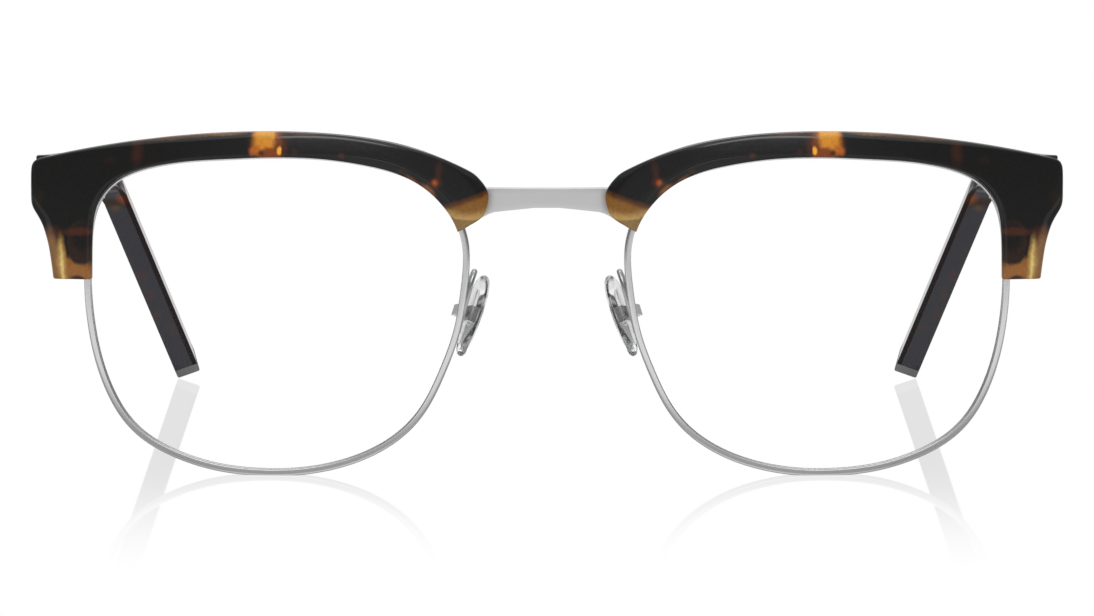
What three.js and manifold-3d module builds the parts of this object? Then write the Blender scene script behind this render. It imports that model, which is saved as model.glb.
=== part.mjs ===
// Half rim eyeglasses: acetate brow pieces and temples on a metal chassis.
// Millimetres. X is across the front (+X is the wearer's left), Y runs back
// along the temples, Z is up. The frame stands open on a table at Z = 0, on the
// feet of both rims and the ends of both temples.
// Paired pieces are shaped on the wearer's right (-X) and mirrored to the left.
import * as THREE from 'three';
import Module from 'manifold-3d';

const wasm = await Module();
wasm.setup();

// ---------------------------------------------------------- shared dimensions
const ORIGIN_Y = 64.715;      // front reference plane to the middle of the overall depth

const LENS_CX = 37.3;         // lens centre, half the centre distance
const LENS_CZ = 22.4;
const BASE_RADIUS = 140;      // radius of the front's spherical curve
const FACE_FORM = 0.061;      // wrap of each half of the front

const RIM_T = 1.05;           // eyewire radial thickness
const SLIT_U = 35 / 36;       // where the eyewire is split, along its length
const SLIT_W = 0.5;           // width of that split
const CORNER_BACK = 8.2;      // flat back of the brow's temporal corner
const TEMPLE_X = 69.4;        // temple centre line at the hinge
const TEMPLE_W = 3.8;         // temple thickness at the hinge

const SCREW = { shank: 0.46, hole: 0.5, head: 0.85 };   // radii, brow and rim lock screws
const RIVET = { shank: 0.56, hole: 0.6 };               // radii, hinge rivets

// ------------------------------------------------------------------ materials
const MATERIALS = {
  acetate: new THREE.MeshStandardMaterial({ color: 0x1c1512, roughness: 0.15, metalness: 0 }),
  frameMetal: new THREE.MeshStandardMaterial({ color: 0xbcbcbe, roughness: 0.32, metalness: 1 }),
  capMetal: new THREE.MeshStandardMaterial({ color: 0x8d8d90, roughness: 0.35, metalness: 1 }),
  screw: new THREE.MeshStandardMaterial({ color: 0xc8c8ca, roughness: 0.2, metalness: 1 }),
  lens: new THREE.MeshStandardMaterial({
    color: 0xf4f8f8, roughness: 0.03, metalness: 0, transparent: true, opacity: 0.25,
  }),
  pad: new THREE.MeshStandardMaterial({
    color: 0xe6e8e6, roughness: 0.2, metalness: 0, transparent: true, opacity: 0.6,
  }),
};

// ----------------------------------------------------------- geometry helpers
// swaps two corners of every triangle, in place
function flipTriangles(indices) {
  for (let i = 0; i < indices.length; i += 3) {
    [indices[i], indices[i + 1]] = [indices[i + 1], indices[i]];
  }
}

function mirrored(geometry) {
  const copy = geometry.clone().scale(-1, 1, 1);
  flipTriangles(copy.index.array);
  return copy;
}

// indexed geometry from [x, y, z] points, turned so that its faces point outwards
function pointMesh(points, triangles) {
  const indices = triangles.flat();
  let volume = 0;
  for (const triangle of triangles) {
    const [a, b, c] = triangle.map((i) => points[i]);
    volume += a[0] * (b[1] * c[2] - b[2] * c[1])
      - a[1] * (b[0] * c[2] - b[2] * c[0])
      + a[2] * (b[0] * c[1] - b[1] * c[0]);
  }
  if (volume < 0) flipTriangles(indices);
  const geometry = new THREE.BufferGeometry();
  geometry.setAttribute('position', new THREE.Float32BufferAttribute(points.flat(), 3));
  geometry.setIndex(indices);
  return geometry;
}

// an outline in space, laid flat in its own plane and running counterclockwise
function flattened(section) {
  const normal = new THREE.Vector3();
  section.forEach((a, i) => {
    const b = section[(i + 1) % section.length];
    normal.x += (a[1] - b[1]) * (a[2] + b[2]);
    normal.y += (a[2] - b[2]) * (a[0] + b[0]);
    normal.z += (a[0] - b[0]) * (a[1] + b[1]);
  });
  normal.normalize();
  const u = new THREE.Vector3(...section[1]).sub(new THREE.Vector3(...section[0]));
  u.addScaledVector(normal, -u.dot(normal)).normalize();
  const v = new THREE.Vector3().crossVectors(normal, u);
  return section.map((p) => new THREE.Vector2(
    u.x * p[0] + u.y * p[1] + u.z * p[2],
    v.x * p[0] + v.y * p[1] + v.z * p[2],
  ));
}

// fills an outline by clipping the best shaped ear first, keeping every point
function capTriangles(section) {
  const flat = flattened(section);
  const left = flat.map((_, i) => i);
  const triangles = [];
  const turn = (a, b, c) => (b.x - a.x) * (c.y - a.y) - (b.y - a.y) * (c.x - a.x);
  const earAt = (i) => [left[(i + left.length - 1) % left.length], left[i],
    left[(i + 1) % left.length]];
  while (left.length > 3) {
    let pick = -1;
    let best = -1e9;
    for (let i = 0; i < left.length; i++) {
      const ear = earAt(i);
      const [a, b, c] = ear.map((id) => flat[id]);
      const area = turn(a, b, c);
      if (area <= 1e-9) continue;
      const holdsPoint = left.some((id) => !ear.includes(id) && turn(a, b, flat[id]) >= 0
        && turn(b, c, flat[id]) >= 0 && turn(c, a, flat[id]) >= 0);
      if (holdsPoint) continue;
      const quality = area
        / (a.distanceToSquared(b) + b.distanceToSquared(c) + c.distanceToSquared(a));
      if (quality > best) {
        best = quality;
        pick = i;
      }
    }
    if (pick < 0) throw new Error('section outline crosses itself');
    triangles.push(earAt(pick));
    left.splice(pick, 1);
  }
  triangles.push(left);
  return triangles;
}

// closed body through a row of matching sections
function loft(sections) {
  const size = sections[0].length;
  const lastStart = (sections.length - 1) * size;
  const triangles = [];
  for (let a = 0; a < lastStart; a += size) {
    const b = a + size;
    for (let j = 0; j < size; j++) {
      const next = (j + 1) % size;
      triangles.push([a + j, b + j, b + next], [a + j, b + next, a + next]);
    }
  }
  triangles.push(...capTriangles(sections[0]));
  for (const [a, b, c] of capTriangles(sections.at(-1))) {
    triangles.push([lastStart + c, lastStart + b, lastStart + a]);
  }
  return pointMesh(sections.flat(), triangles);
}

// welds equal points and drops collapsed triangles, as a solid needs
function toSolid(geometry) {
  const position = geometry.attributes.position;
  const known = new Map();
  const vertices = [];
  const welded = [];
  for (let i = 0; i < position.count; i++) {
    const point = [position.getX(i), position.getY(i), position.getZ(i)];
    const key = point.map((v) => Math.round(v * 1e4)).join();
    if (!known.has(key)) {
      known.set(key, vertices.length / 3);
      vertices.push(...point);
    }
    welded.push(known.get(key));
  }
  const source = geometry.index ? Array.from(geometry.index.array) : [...welded.keys()];
  const triangles = [];
  for (let i = 0; i < source.length; i += 3) {
    const [a, b, c] = source.slice(i, i + 3).map((id) => welded[id]);
    if (a !== b && b !== c && a !== c) triangles.push(a, b, c);
  }
  return new wasm.Manifold(new wasm.Mesh({
    numProp: 3,
    vertProperties: new Float32Array(vertices),
    triVerts: new Uint32Array(triangles),
  }));
}

function fromSolid(solid) {
  const { numVert, numProp, vertProperties, triVerts } = solid.getMesh();
  const out = new Float32Array(numVert * 3);
  for (let i = 0; i < numVert; i++) {
    for (let k = 0; k < 3; k++) out[i * 3 + k] = vertProperties[i * numProp + k];
  }
  const geometry = new THREE.BufferGeometry();
  geometry.setAttribute('position', new THREE.BufferAttribute(out, 3));
  geometry.setIndex(Array.from(triVerts));
  return geometry;
}

const cut = (geometry, ...tools) =>
  fromSolid(tools.reduce((solid, tool) => solid.subtract(toSolid(tool)), toSolid(geometry)));
const join = (first, ...others) =>
  fromSolid(others.reduce((solid, other) => solid.add(toSolid(other)), toSolid(first)));

// an axis is a function from a distance to the point there
const alongX = (y, z) => (x) => [x, y, z];
const alongY = (x, z) => (y) => [x, y, z];
const alongZ = (x, y) => (z) => [x, y, z];

// round bar on an axis
function bar(axis, from, to, radius, segments = 12) {
  const start = new THREE.Vector3(...axis(from));
  const end = new THREE.Vector3(...axis(to));
  const reach = end.clone().sub(start);
  const turn = new THREE.Quaternion()
    .setFromUnitVectors(new THREE.Vector3(0, 1, 0), reach.clone().normalize());
  return new THREE.CylinderGeometry(radius, radius, reach.length(), segments, 1)
    .applyQuaternion(turn)
    .translate((start.x + end.x) / 2, (start.y + end.y) / 2, (start.z + end.z) / 2);
}

// screw or rivet: shank and head are each [from, to, radius] on the axis
const headedPin = (axis, shank, head, segments = 12) =>
  join(bar(axis, ...shank, segments), bar(axis, ...head, segments));

const block = ([x0, x1], [y0, y1], [z0, z1]) =>
  new THREE.BoxGeometry(x1 - x0, y1 - y0, z1 - z0)
    .translate((x0 + x1) / 2, (y0 + y1) / 2, (z0 + z1) / 2);

const group = new THREE.Group();

function add(name, geometry, material) {
  const placed = geometry.clone().translate(0, -ORIGIN_Y, 0);
  placed.computeVertexNormals();
  const piece = new THREE.Mesh(placed, material.clone());
  piece.name = name;
  group.add(piece);
}

function addPair(name, geometry, material) {
  add(`right_${name}`, geometry, material);
  add(`left_${name}`, mirrored(geometry), material);
}

// front surface, curved back and wrapped from each lens centre
function frontY(x, z) {
  const across = Math.abs(x) - LENS_CX;
  const up = z - LENS_CZ;
  return (across * across + up * up) / (2 * BASE_RADIUS) + FACE_FORM * across;
}

// ---------------------------------------------------------------- rim outline
// lens opening of the right rim, [x, z], from the temporal side down and round
const RIM = [
  [-63.15, 26.54], [-62.87, 22.21], [-62.19, 17.92], [-61.02, 13.75], [-59.23, 9.8],
  [-56.55, 6.41], [-52.95, 4.01], [-48.94, 2.38], [-44.72, 1.38], [-40.41, 0.93],
  [-36.07, 0.93], [-31.76, 1.41], [-27.56, 2.47], [-23.59, 4.19], [-20.05, 6.69],
  [-17.31, 10.04], [-15.34, 13.9], [-13.74, 17.93], [-12.61, 22.11], [-11.97, 26.4],
  [-11.71, 30.73], [-12.69, 34.92], [-15.23, 38.41], [-18.78, 40.87], [-22.88, 42.27],
  [-27.13, 43.12], [-31.44, 43.62], [-35.77, 43.79], [-40.11, 43.72], [-44.44, 43.52],
  [-48.77, 43.24], [-53.07, 42.66], [-57.24, 41.47], [-60.79, 39.07], [-62.61, 35.18],
  [-63.08, 30.87],
];
const RIM_STATIONS = 56;
const SEARCH_STATIONS = 1440;   // fine stations for finding the nearest point

const rimCurve = new THREE.CatmullRomCurve3(
  RIM.map(([x, z]) => new THREE.Vector3(x, 0, z)), true, 'centripetal');
rimCurve.arcLengthDivisions = 2000;

// station on the opening: point and outward normal in the XZ plane
function rimAt(u) {
  const wrapped = ((u % 1) + 1) % 1;
  const { x, z } = rimCurve.getPointAt(wrapped);
  const tangent = rimCurve.getTangentAt(wrapped);
  const outward = tangent.z * (x + LENS_CX) - tangent.x * (z - LENS_CZ) < 0 ? -1 : 1;
  return { x, z, nx: tangent.z * outward, nz: -tangent.x * outward };
}

// [x, z] a distance outward from a station
const offRim = (station, out) => [station.x + station.nx * out, station.z + station.nz * out];

// point outward from a station and back from the front surface, never below the table
function rimPoint(station, out, back) {
  const [x, rawZ] = offRim(station, out);
  const z = Math.max(0, rawZ);
  return [x, frontY(x, z) + back, z];
}

const rimStations = Array.from({ length: RIM_STATIONS },
  (_, i) => rimAt(SLIT_U + i / RIM_STATIONS));
const searchStations = Array.from({ length: SEARCH_STATIONS },
  (_, i) => rimAt(i / SEARCH_STATIONS));

function nearestStation(x, z) {
  let nearest = null;
  let least = Infinity;
  for (const station of searchStations) {
    const distance = (station.x - x) ** 2 + (station.z - z) ** 2;
    if (distance < least) {
      least = distance;
      nearest = station;
    }
  }
  return nearest;
}

// -------------------------------------------------------------------- eyewire
const RIM_HD = 1.1;             // eyewire half depth
const RIM_SIDE_HD = 0.85;       // half depth of the flat outer side
const RIM_LIP_HD = 0.95;        // half depth of the inner side
const RIM_FACE = [0.2, 0.85];   // flat front and back faces, from the opening
const GROOVE_D = 0.42;          // lens groove depth
const GROOVE_HW = 0.62;         // lens groove half width

// [outward from the opening, back]
const RIM_SECTION = [
  [0, -RIM_LIP_HD], [RIM_FACE[0], -RIM_HD], [RIM_FACE[1], -RIM_HD], [RIM_T, -RIM_SIDE_HD],
  [RIM_T, RIM_SIDE_HD], [RIM_FACE[1], RIM_HD], [RIM_FACE[0], RIM_HD], [0, RIM_LIP_HD],
  [0, GROOVE_HW], [GROOVE_D, 0], [0, -GROOVE_HW],
];

function makeEyewire() {
  const [split, ...others] = rimStations;
  const share = (SLIT_W / 2) / (rimCurve.getLength() / RIM_STATIONS);
  const besideSplit = (neighbour) => Object.fromEntries(Object.keys(split).map(
    (key) => [key, split[key] + (neighbour[key] - split[key]) * share]));
  const row = [besideSplit(others[0]), ...others, besideSplit(others.at(-1))];
  return loft(row.map((station) =>
    RIM_SECTION.map(([out, back]) => rimPoint(station, out, back))));
}
addPair('eyewire', makeEyewire(), MATERIALS.frameMetal);

// ----------------------------------------------------------------------- lens
const LENS_EDGE = 0.33;                     // point of the bevelled edge, into the groove
const LENS_SHOULDER = [-0.12, 0.52];        // bevel's foot: outward offset, half depth
const LENS_INNER = [0.45, -0.95, 0.85];     // ring scale, its front and back offsets
const LENS_OUTER = [0.93, -0.85, 0.8];

// bevelled edge in the groove, then a gently domed plate
function makeLens() {
  const rimLoop = (out, back) => rimStations.map((station) => rimPoint(station, out, back));
  const scaledLoop = (scale, back) => rimStations.map((station) => {
    const x = -LENS_CX + (station.x + LENS_CX) * scale;
    const z = LENS_CZ + (station.z - LENS_CZ) * scale;
    return [x, frontY(x, z) + back, z];
  });
  const [innerScale, innerFront, innerBack] = LENS_INNER;
  const [outerScale, outerFront, outerBack] = LENS_OUTER;
  const [shoulder, shoulderDepth] = LENS_SHOULDER;
  const points = [
    scaledLoop(innerScale, innerFront),
    scaledLoop(outerScale, outerFront),
    rimLoop(shoulder, -shoulderDepth),
    rimLoop(LENS_EDGE, 0),
    rimLoop(shoulder, shoulderDepth),
    scaledLoop(outerScale, outerBack),
    scaledLoop(innerScale, innerBack),
  ].flat();
  const lastLoop = points.length - RIM_STATIONS;
  const frontCentre = points.length;
  const backCentre = frontCentre + 1;
  for (const back of [innerFront, innerBack]) {
    points.push([-LENS_CX, frontY(-LENS_CX, LENS_CZ) + back, LENS_CZ]);
  }
  const triangles = [];
  for (let loop = 0; loop < lastLoop; loop += RIM_STATIONS) {
    for (let j = 0; j < RIM_STATIONS; j++) {
      const a = loop + j;
      const b = loop + (j + 1) % RIM_STATIONS;
      triangles.push([a, a + RIM_STATIONS, b + RIM_STATIONS], [a, b + RIM_STATIONS, b]);
    }
  }
  for (let j = 0; j < RIM_STATIONS; j++) {
    const next = (j + 1) % RIM_STATIONS;
    triangles.push([frontCentre, j, next], [backCentre, lastLoop + next, lastLoop + j]);
  }
  return pointMesh(points, triangles);
}
addPair('lens', makeLens(), MATERIALS.lens);

// ----------------------------------------------------------------- brow shape
// brow stations from the foot of the temporal leg, over the top, to the nasal tip:
// [inner x, inner z, outer x, outer z, lower edge's standoff from the lens opening,
//  bevel width along the lens side, bevel width along the outer edge]
const BROW = [
  [-62.92, 27.17, -68.48, 27.13, -0.24, 0.9, 0.9], [-62.91, 28.49, -68.63, 28.45, -0.25, 0.9, 0.9],
  [-62.9, 30.15, -68.87, 30.11, -0.22, 0.9, 0.95], [-62.85, 31.82, -69.15, 31.77, -0.17, 0.95, 1],
  [-62.74, 33.48, -69.61, 33.42, -0.1, 1, 1.1], [-62.59, 34.86, -70.11, 34.79, 0, 1, 1.2],
  [-62.31, 36.11, -70.83, 36.02, 0.12, 1, 1.2], [-61.92, 37.15, -71.59, 37.19, 0.22, 1, 1],
  [-61.5, 37.99, -71.66, 38.64, 0.3, 0.95, 0.8], [-60.93, 38.85, -71.69, 40.3, 0.36, 0.85, 0.7],
  [-60.37, 39.55, -71.68, 41.95, 0.4, 0.7, 0.6], [-59.73, 40.15, -71.54, 43.13, 0.45, 0.55, 0.5],
  [-59.24, 40.5, -71.07, 43.54, 0.48, 0.45, 0.4], [-58.67, 40.81, -70.29, 43.77, 0.5, 0.4, 0.35],
  [-57.82, 41.2, -68.29, 44.21, 0.48, 0.35, 0.3], [-56.69, 41.66, -65.41, 44.81, 0.45, 0.35, 0.35],
  [-55.28, 42.08, -62.12, 45.42, 0.42, 0.35, 0.45], [-53.46, 42.56, -58.31, 46.04, 0.38, 0.35, 0.6],
  [-51.07, 42.95, -54.09, 46.61, 0.35, 0.35, 0.66], [-48.27, 43.29, -49.9, 47.05, 0.35, 0.35, 0.7],
  [-45.06, 43.52, -46.13, 47.34, 0.35, 0.35, 0.68], [-41.59, 43.71, -42.23, 47.52, 0.35, 0.35, 0.58],
  [-38.12, 43.8, -38.35, 47.59, 0.35, 0.35, 0.42], [-34.66, 43.76, -34.47, 47.54, 0.35, 0.4, 0.27],
  [-31.49, 43.61, -30.88, 47.37, 0.33, 0.55, 0.18], [-28.73, 43.39, -27.71, 47.1, 0.3, 0.75, 0.15],
  [-26.25, 42.95, -24.82, 46.73, 0.3, 1, 0.2], [-23.91, 42.49, -22.08, 46.25, 0.3, 1.15, 0.24],
  [-21.71, 41.96, -19.48, 45.64, 0.28, 1.3, 0.2], [-19.78, 41.43, -17.03, 44.92, 0.22, 1.5, 0.2],
  [-18.13, 40.67, -14.83, 44.14, 0.15, 1.8, 0.25], [-16.75, 39.7, -12.9, 43.31, 0.1, 2.2, 0.35],
  [-15.58, 38.67, -11.24, 42.5, 0.05, 2.6, 0.7], [-14.62, 37.7, -9.95, 41.79, 0, 2.8, 0.95],
  [-13.86, 36.74, -9.03, 40.81, 0, 2.7, 1.05], [-13.31, 35.77, -8.31, 39.84, 0, 2.5, 1],
  [-12.97, 35.08, -7.97, 39.08, 0, 2.3, 0.95], [-12.69, 34.53, -8, 38.26, 0, 2, 0.9],
  [-12.49, 34.08, -8.37, 36.69, 0, 1.4, 0.7], [-12.14, 33.87, -9.1, 35.67, 0, 0.8, 0.5],
];
const BROW_FRONT = -2.6;      // brow front face, from the front surface
const BROW_STEP = -1.25;      // brow rabbet over the eyewire
const BROW_RABBET = 1.2;      // rabbet width from the lens opening
const LEG_END = 5;            // last station of each stretch of the back
const CORNER_END = 14;
const TAPER_END = 18;
const TOP_END = 28;
const LEG_BACK = -1.12;       // back of each stretch, from the front surface
const LEG_STEP_BACK = 0.1;
const TOP_BACK = 1.2;
const NASAL_STEP_BACK = 0.2;
const NASAL_BACK = -0.85;

// back of the brow behind its rabbet
function browBack(k, x, z) {
  const front = frontY(x, z);
  if (k <= LEG_END) return front + LEG_BACK;             // thin leg in front of the rim lock
  if (k === LEG_END + 1) return front + LEG_STEP_BACK;
  if (k <= CORNER_END) return CORNER_BACK;
  if (k <= TAPER_END) {
    const share = (k - CORNER_END) / (TAPER_END - CORNER_END);
    return CORNER_BACK * (1 - share) + (front + TOP_BACK) * share;
  }
  if (k <= TOP_END) return front + TOP_BACK;
  if (k === TOP_END + 1) return front + NASAL_STEP_BACK;
  return front + NASAL_BACK;                             // thin over the bridge's ends
}

function browSection([innerX, innerZ, outerX, outerZ, standoff, innerBevel, outerBevel], k) {
  const station = nearestStation(innerX, innerZ);
  const [startX, startZ] = offRim(station, standoff);
  const width = Math.hypot(outerX - startX, outerZ - startZ);
  const across = (distance, back) => {
    const x = startX + (outerX - startX) / width * distance;
    const z = startZ + (outerZ - startZ) / width * distance;
    return [x, frontY(x, z) + back, z];
  };
  const [rabbetX, rabbetZ] = offRim(station, BROW_RABBET);
  return [
    across(0, BROW_STEP),
    across(0, BROW_FRONT + 0.35 + Math.min(0.35, innerBevel * 0.2)),
    across(innerBevel, BROW_FRONT),
    across(width - outerBevel, BROW_FRONT),
    across(width, BROW_FRONT + 0.25 + outerBevel * 0.3),
    [outerX, browBack(k, outerX, outerZ), outerZ],
    [rabbetX, browBack(k, rabbetX, rabbetZ), rabbetZ],
    [rabbetX, frontY(rabbetX, rabbetZ) + BROW_STEP, rabbetZ],
  ];
}

// ----------------------------------------------- rim lock behind the brow leg
const LOCK_W = 2.6;           // block width, outward from the eyewire
const LOCK_H = 2.1;           // height of each block
const LOCK_FRONT = -0.95;     // block front and back, from the lock's middle
const LOCK_BACK = 1.15;

const slit = rimAt(SLIT_U);
const lockY = frontY(slit.x - 1.5, slit.z);
const lockInnerX = slit.x - RIM_T - 0.1;
const lockOuterX = lockInnerX - LOCK_W;
const upperZ = slit.z + SLIT_W / 2;       // underside of the upper block
const lowerZ = slit.z - SLIT_W / 2;       // top of the lower block
const lockAxis = alongZ(lockInnerX - 1.35, lockY + 0.15);
const browScrewAxis = alongY(lockOuterX + 0.75, upperZ + 3.1);

const lockBlock = (z0, z1) =>
  block([lockOuterX, lockInnerX], [lockY + LOCK_FRONT, lockY + LOCK_BACK], [z0, z1]);

const lockTab = block([lockOuterX - 0.35, lockOuterX + 1.85],
  [lockY + LOCK_FRONT, lockY + 0.05], [upperZ + 1.6, upperZ + 4.2]);
addPair('rim_lock_upper', cut(
  join(lockBlock(upperZ, upperZ + LOCK_H), lockTab),
  bar(lockAxis, upperZ - 1, upperZ + 1.5, SCREW.hole),
  bar(browScrewAxis, lockY - 3, lockY + 3, SCREW.hole),
), MATERIALS.frameMetal);
addPair('rim_lock_lower', cut(
  lockBlock(lowerZ - LOCK_H, lowerZ),
  bar(lockAxis, 20, 45, SCREW.hole),
), MATERIALS.frameMetal);

const lockHeadZ = lowerZ - LOCK_H - 0.05;       // top of the head, under the lower block
addPair('rim_lock_screw', headedPin(lockAxis,
  [lockHeadZ, upperZ + 1.4, SCREW.shank],
  [lockHeadZ - 0.6, lockHeadZ, SCREW.head]), MATERIALS.screw);

const browHeadY = lockY + 0.1;                  // front of the head, behind the tab
addPair('brow_screw_temporal', headedPin(browScrewAxis,
  [lockY - 1.45, browHeadY + 0.1, SCREW.shank],
  [browHeadY, browHeadY + 0.55, SCREW.head]), MATERIALS.screw);

// --------------------------------------------------------------------- bridge
const BRIDGE_TOP = 39.98;
const BRIDGE_T = 1.5;         // depth, front to back
const BRIDGE_BEVEL = 0.18;    // along both front edges
const BRIDGE_REACH = 1.2;     // ends, outward from the lens opening
const BRIDGE_BULGE_X = 8.6;   // half width of the part that curves back
// lower edge from the middle outwards, [x, z]
const BRIDGE_LOWER = [
  [0, 37.3], [1.7, 37.3], [3.9, 37.02], [5.6, 36.82], [7.2, 36.61], [8.0, 36.36], [8.8, 35.9],
];
const BRIDGE_JOINT_X = 10.8;  // sections that set the depth between the bridge and its end
const BRIDGE_END_X = 12.6;

// front face at a distance from the middle
const bridgeFront = (x) => 0.75 + 0.9 * Math.min(1, (x / BRIDGE_BULGE_X) ** 2)
  - 0.07 * Math.max(0, x - BRIDGE_BULGE_X);

function bridgeSection(depthX, [topX, topZ], [lowX, lowZ]) {
  const front = bridgeFront(depthX);
  const back = front + BRIDGE_T;
  return [
    [lowX, front + BRIDGE_BEVEL, lowZ], [lowX, front, lowZ + BRIDGE_BEVEL],
    [topX, front, topZ - BRIDGE_BEVEL], [topX, front + BRIDGE_BEVEL, topZ],
    [topX, back, topZ], [lowX, back, lowZ],
  ];
}

function makeBridge() {
  const endAt = (x, z) => {
    const [endX, endZ] = offRim(nearestStation(x, z), BRIDGE_REACH);
    return [-endX, endZ];
  };
  const endTop = endAt(-15.6, 38.8);
  const endLow = endAt(-13.7, 36.4);
  const midway = (a, b) => [(a[0] + b[0]) / 2, (a[1] + b[1]) / 2];
  const lastLow = BRIDGE_LOWER.at(-1);
  const half = BRIDGE_LOWER.map(([x, z]) => bridgeSection(x, [x, BRIDGE_TOP], [x, z]));
  half.push(bridgeSection(BRIDGE_JOINT_X,
    midway([lastLow[0], BRIDGE_TOP], endTop), midway(lastLow, endLow)));
  half.push(bridgeSection(BRIDGE_END_X, endTop, endLow));
  const otherHalf = half.slice(1).reverse()
    .map((section) => section.map(([x, y, z]) => [-x, y, z]));
  return loft([...otherHalf, ...half]);
}

// nasal screw: through the bridge's end into the brow
const nasalAxis = alongY(-11.35, 38.15);
const nasalY = bridgeFront(11.3);
const nasalHeadY = nasalY + BRIDGE_T + 0.13;
const nasalHole = bar(nasalAxis, nasalY - 1.35, nasalY + 4, SCREW.hole);
addPair('brow_screw_nasal', headedPin(nasalAxis,
  [nasalY - 1.25, nasalY + BRIDGE_T + 0.2, SCREW.shank],
  [nasalHeadY, nasalHeadY + 0.52, SCREW.head]), MATERIALS.screw);
add('bridge', cut(makeBridge(), nasalHole, mirrored(nasalHole)), MATERIALS.frameMetal);

// --------------------------------------------------------------------- hinges
const HINGE_X = -65.4;        // pin axis
const HINGE_Y = 10.3;
const HINGE_Z = 40.5;         // middle of the knuckles
const BARREL_R = 1.2;
const BARREL_SEGMENTS = 16;
const KNUCKLE_H = 1.6;
const KNUCKLE_GAP = 0.1;
const PIN_R = 0.55;
const PIN_CLEARANCE = 0.03;
const PIN_SEGMENTS = 14;
const LEAF_T = 0.7;
const LEAF_GAP = 0.04;        // between a leaf and the acetate

// [bottom, top] of the three knuckles, bottom to top
const knuckles = [-1, 0, 1].map((level) => {
  const middle = HINGE_Z + level * (KNUCKLE_H + KNUCKLE_GAP);
  return [middle - KNUCKLE_H / 2, middle + KNUCKLE_H / 2];
});
const hingeBottom = knuckles[0][0];
const hingeTop = knuckles[2][1];
const pinAxis = alongZ(HINGE_X, HINGE_Y);
const pinHole = bar(pinAxis, 30, 50, PIN_R + PIN_CLEARANCE, PIN_SEGMENTS);
const barrel = ([bottom, top]) => bar(pinAxis, bottom, top, BARREL_R, BARREL_SEGMENTS);

// front leaf: a plate behind the brow's corner with the outer two knuckles
const frontLeafY = CORNER_BACK + LEAF_GAP;
const frontLeafBack = frontLeafY + LEAF_T;
const frontRivetAxis = alongY(HINGE_X + 2.45, HINGE_Z);
const frontPlate = block([HINGE_X - 1.75, HINGE_X + 3.6], [frontLeafY, frontLeafBack],
  [hingeBottom, hingeTop]);
const frontKnuckles = [knuckles[0], knuckles[2]].flatMap((levels) => [
  barrel(levels),
  block([HINGE_X - 0.75, HINGE_X + 1.15], [frontLeafBack - 0.1, HINGE_Y], levels),
]);
addPair('hinge_front_leaf', cut(
  join(frontPlate, ...frontKnuckles),
  pinHole,
  bar(frontRivetAxis, 0, 20, RIVET.hole),
), MATERIALS.frameMetal);
addPair('hinge_front_rivet', headedPin(frontRivetAxis,
  [CORNER_BACK - 2.2, frontLeafBack + 0.05, RIVET.shank],
  [frontLeafBack + 0.02, frontLeafBack + 0.4, 0.9]), MATERIALS.screw);

// temple leaf: a plate on the temple's inner face with the middle knuckle
const templeInnerX = -(TEMPLE_X - TEMPLE_W / 2);
const templeLeafX = templeInnerX + LEAF_GAP;
const templeLeafInnerX = templeLeafX + LEAF_T;
const templeRivets = [['front', 4.6], ['rear', 7.7]]     // distance behind the pin
  .map(([place, behind]) => ({ place, axis: alongX(HINGE_Y + behind, HINGE_Z) }));
const templeRivetHoles = (depth) => templeRivets.map(({ axis }) =>
  bar(axis, templeInnerX - depth, templeInnerX + 3, RIVET.hole));
addPair('hinge_temple_leaf', cut(
  join(
    block([templeLeafX, templeLeafInnerX], [HINGE_Y + 1.9, HINGE_Y + 9.4],
      [HINGE_Z - 2, HINGE_Z + 2]),
    block([templeLeafX, HINGE_X + 0.2], [HINGE_Y + 0.35, HINGE_Y + 2.3], knuckles[1]),
    barrel(knuckles[1]),
  ),
  pinHole,
  ...templeRivetHoles(3),
), MATERIALS.frameMetal);
for (const { place, axis } of templeRivets) {
  addPair(`temple_rivet_${place}`, headedPin(axis,
    [templeInnerX - 1.5, templeLeafInnerX + 0.05, RIVET.shank],
    [templeLeafInnerX + 0.02, templeLeafInnerX + 0.35, 0.85]), MATERIALS.screw);
}
addPair('hinge_screw', headedPin(pinAxis,
  [hingeBottom - 0.15, hingeTop + 0.1, PIN_R],
  [hingeTop + 0.06, hingeTop + 0.6, 0.95], PIN_SEGMENTS), MATERIALS.screw);

// ----------------------------------------------------------------------- brow
// with its holes for the screws and the rivet, and a pocket for the rim lock
const lockPocket = block([lockOuterX - 0.6, lockInnerX + 0.3], [lockY - 1.05, lockY + 4],
  [upperZ - 6, upperZ + 4.45]);
addPair('brow', cut(
  loft(BROW.map(browSection)),
  nasalHole,
  bar(browScrewAxis, lockY - 1.55, lockY + 1, SCREW.hole),
  lockPocket,
  bar(frontRivetAxis, CORNER_BACK - 2.3, 20, RIVET.hole),
), MATERIALS.acetate);

// -------------------------------------------------------------------- temples
const TEMPLE_TIP_W = 3.95;    // thickness at the end
const TEMPLE_H = 6.8;         // height at the hinge
const TEMPLE_TIP_H = 5.6;     // and at the end
const TEMPLE_ROLL = THREE.MathUtils.degToRad(14.6);  // the down-turned end rolls on its axis
const LOW_BEVEL = 0.3;                      // lower edges, both ways
const TIP_BEVEL = { across: 0.79, up: 0.35 };   // inner lower edge of the down-turned end
const TOP_BEVEL = 0.55;       // upper edges
const TOP_BEVEL_START = 0.4;  // and at the hinge end
const CAP_L = 1.6;            // metal end cap length
const CAP_GAP = 0.04;         // between the temple and its cap
const CAP_PROUD = 0.03;       // cap over the temple's section
const CORE = [0.36, 0.78];    // core wire half width and half height
const CORE_BORE = [0.42, 0.85];

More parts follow.
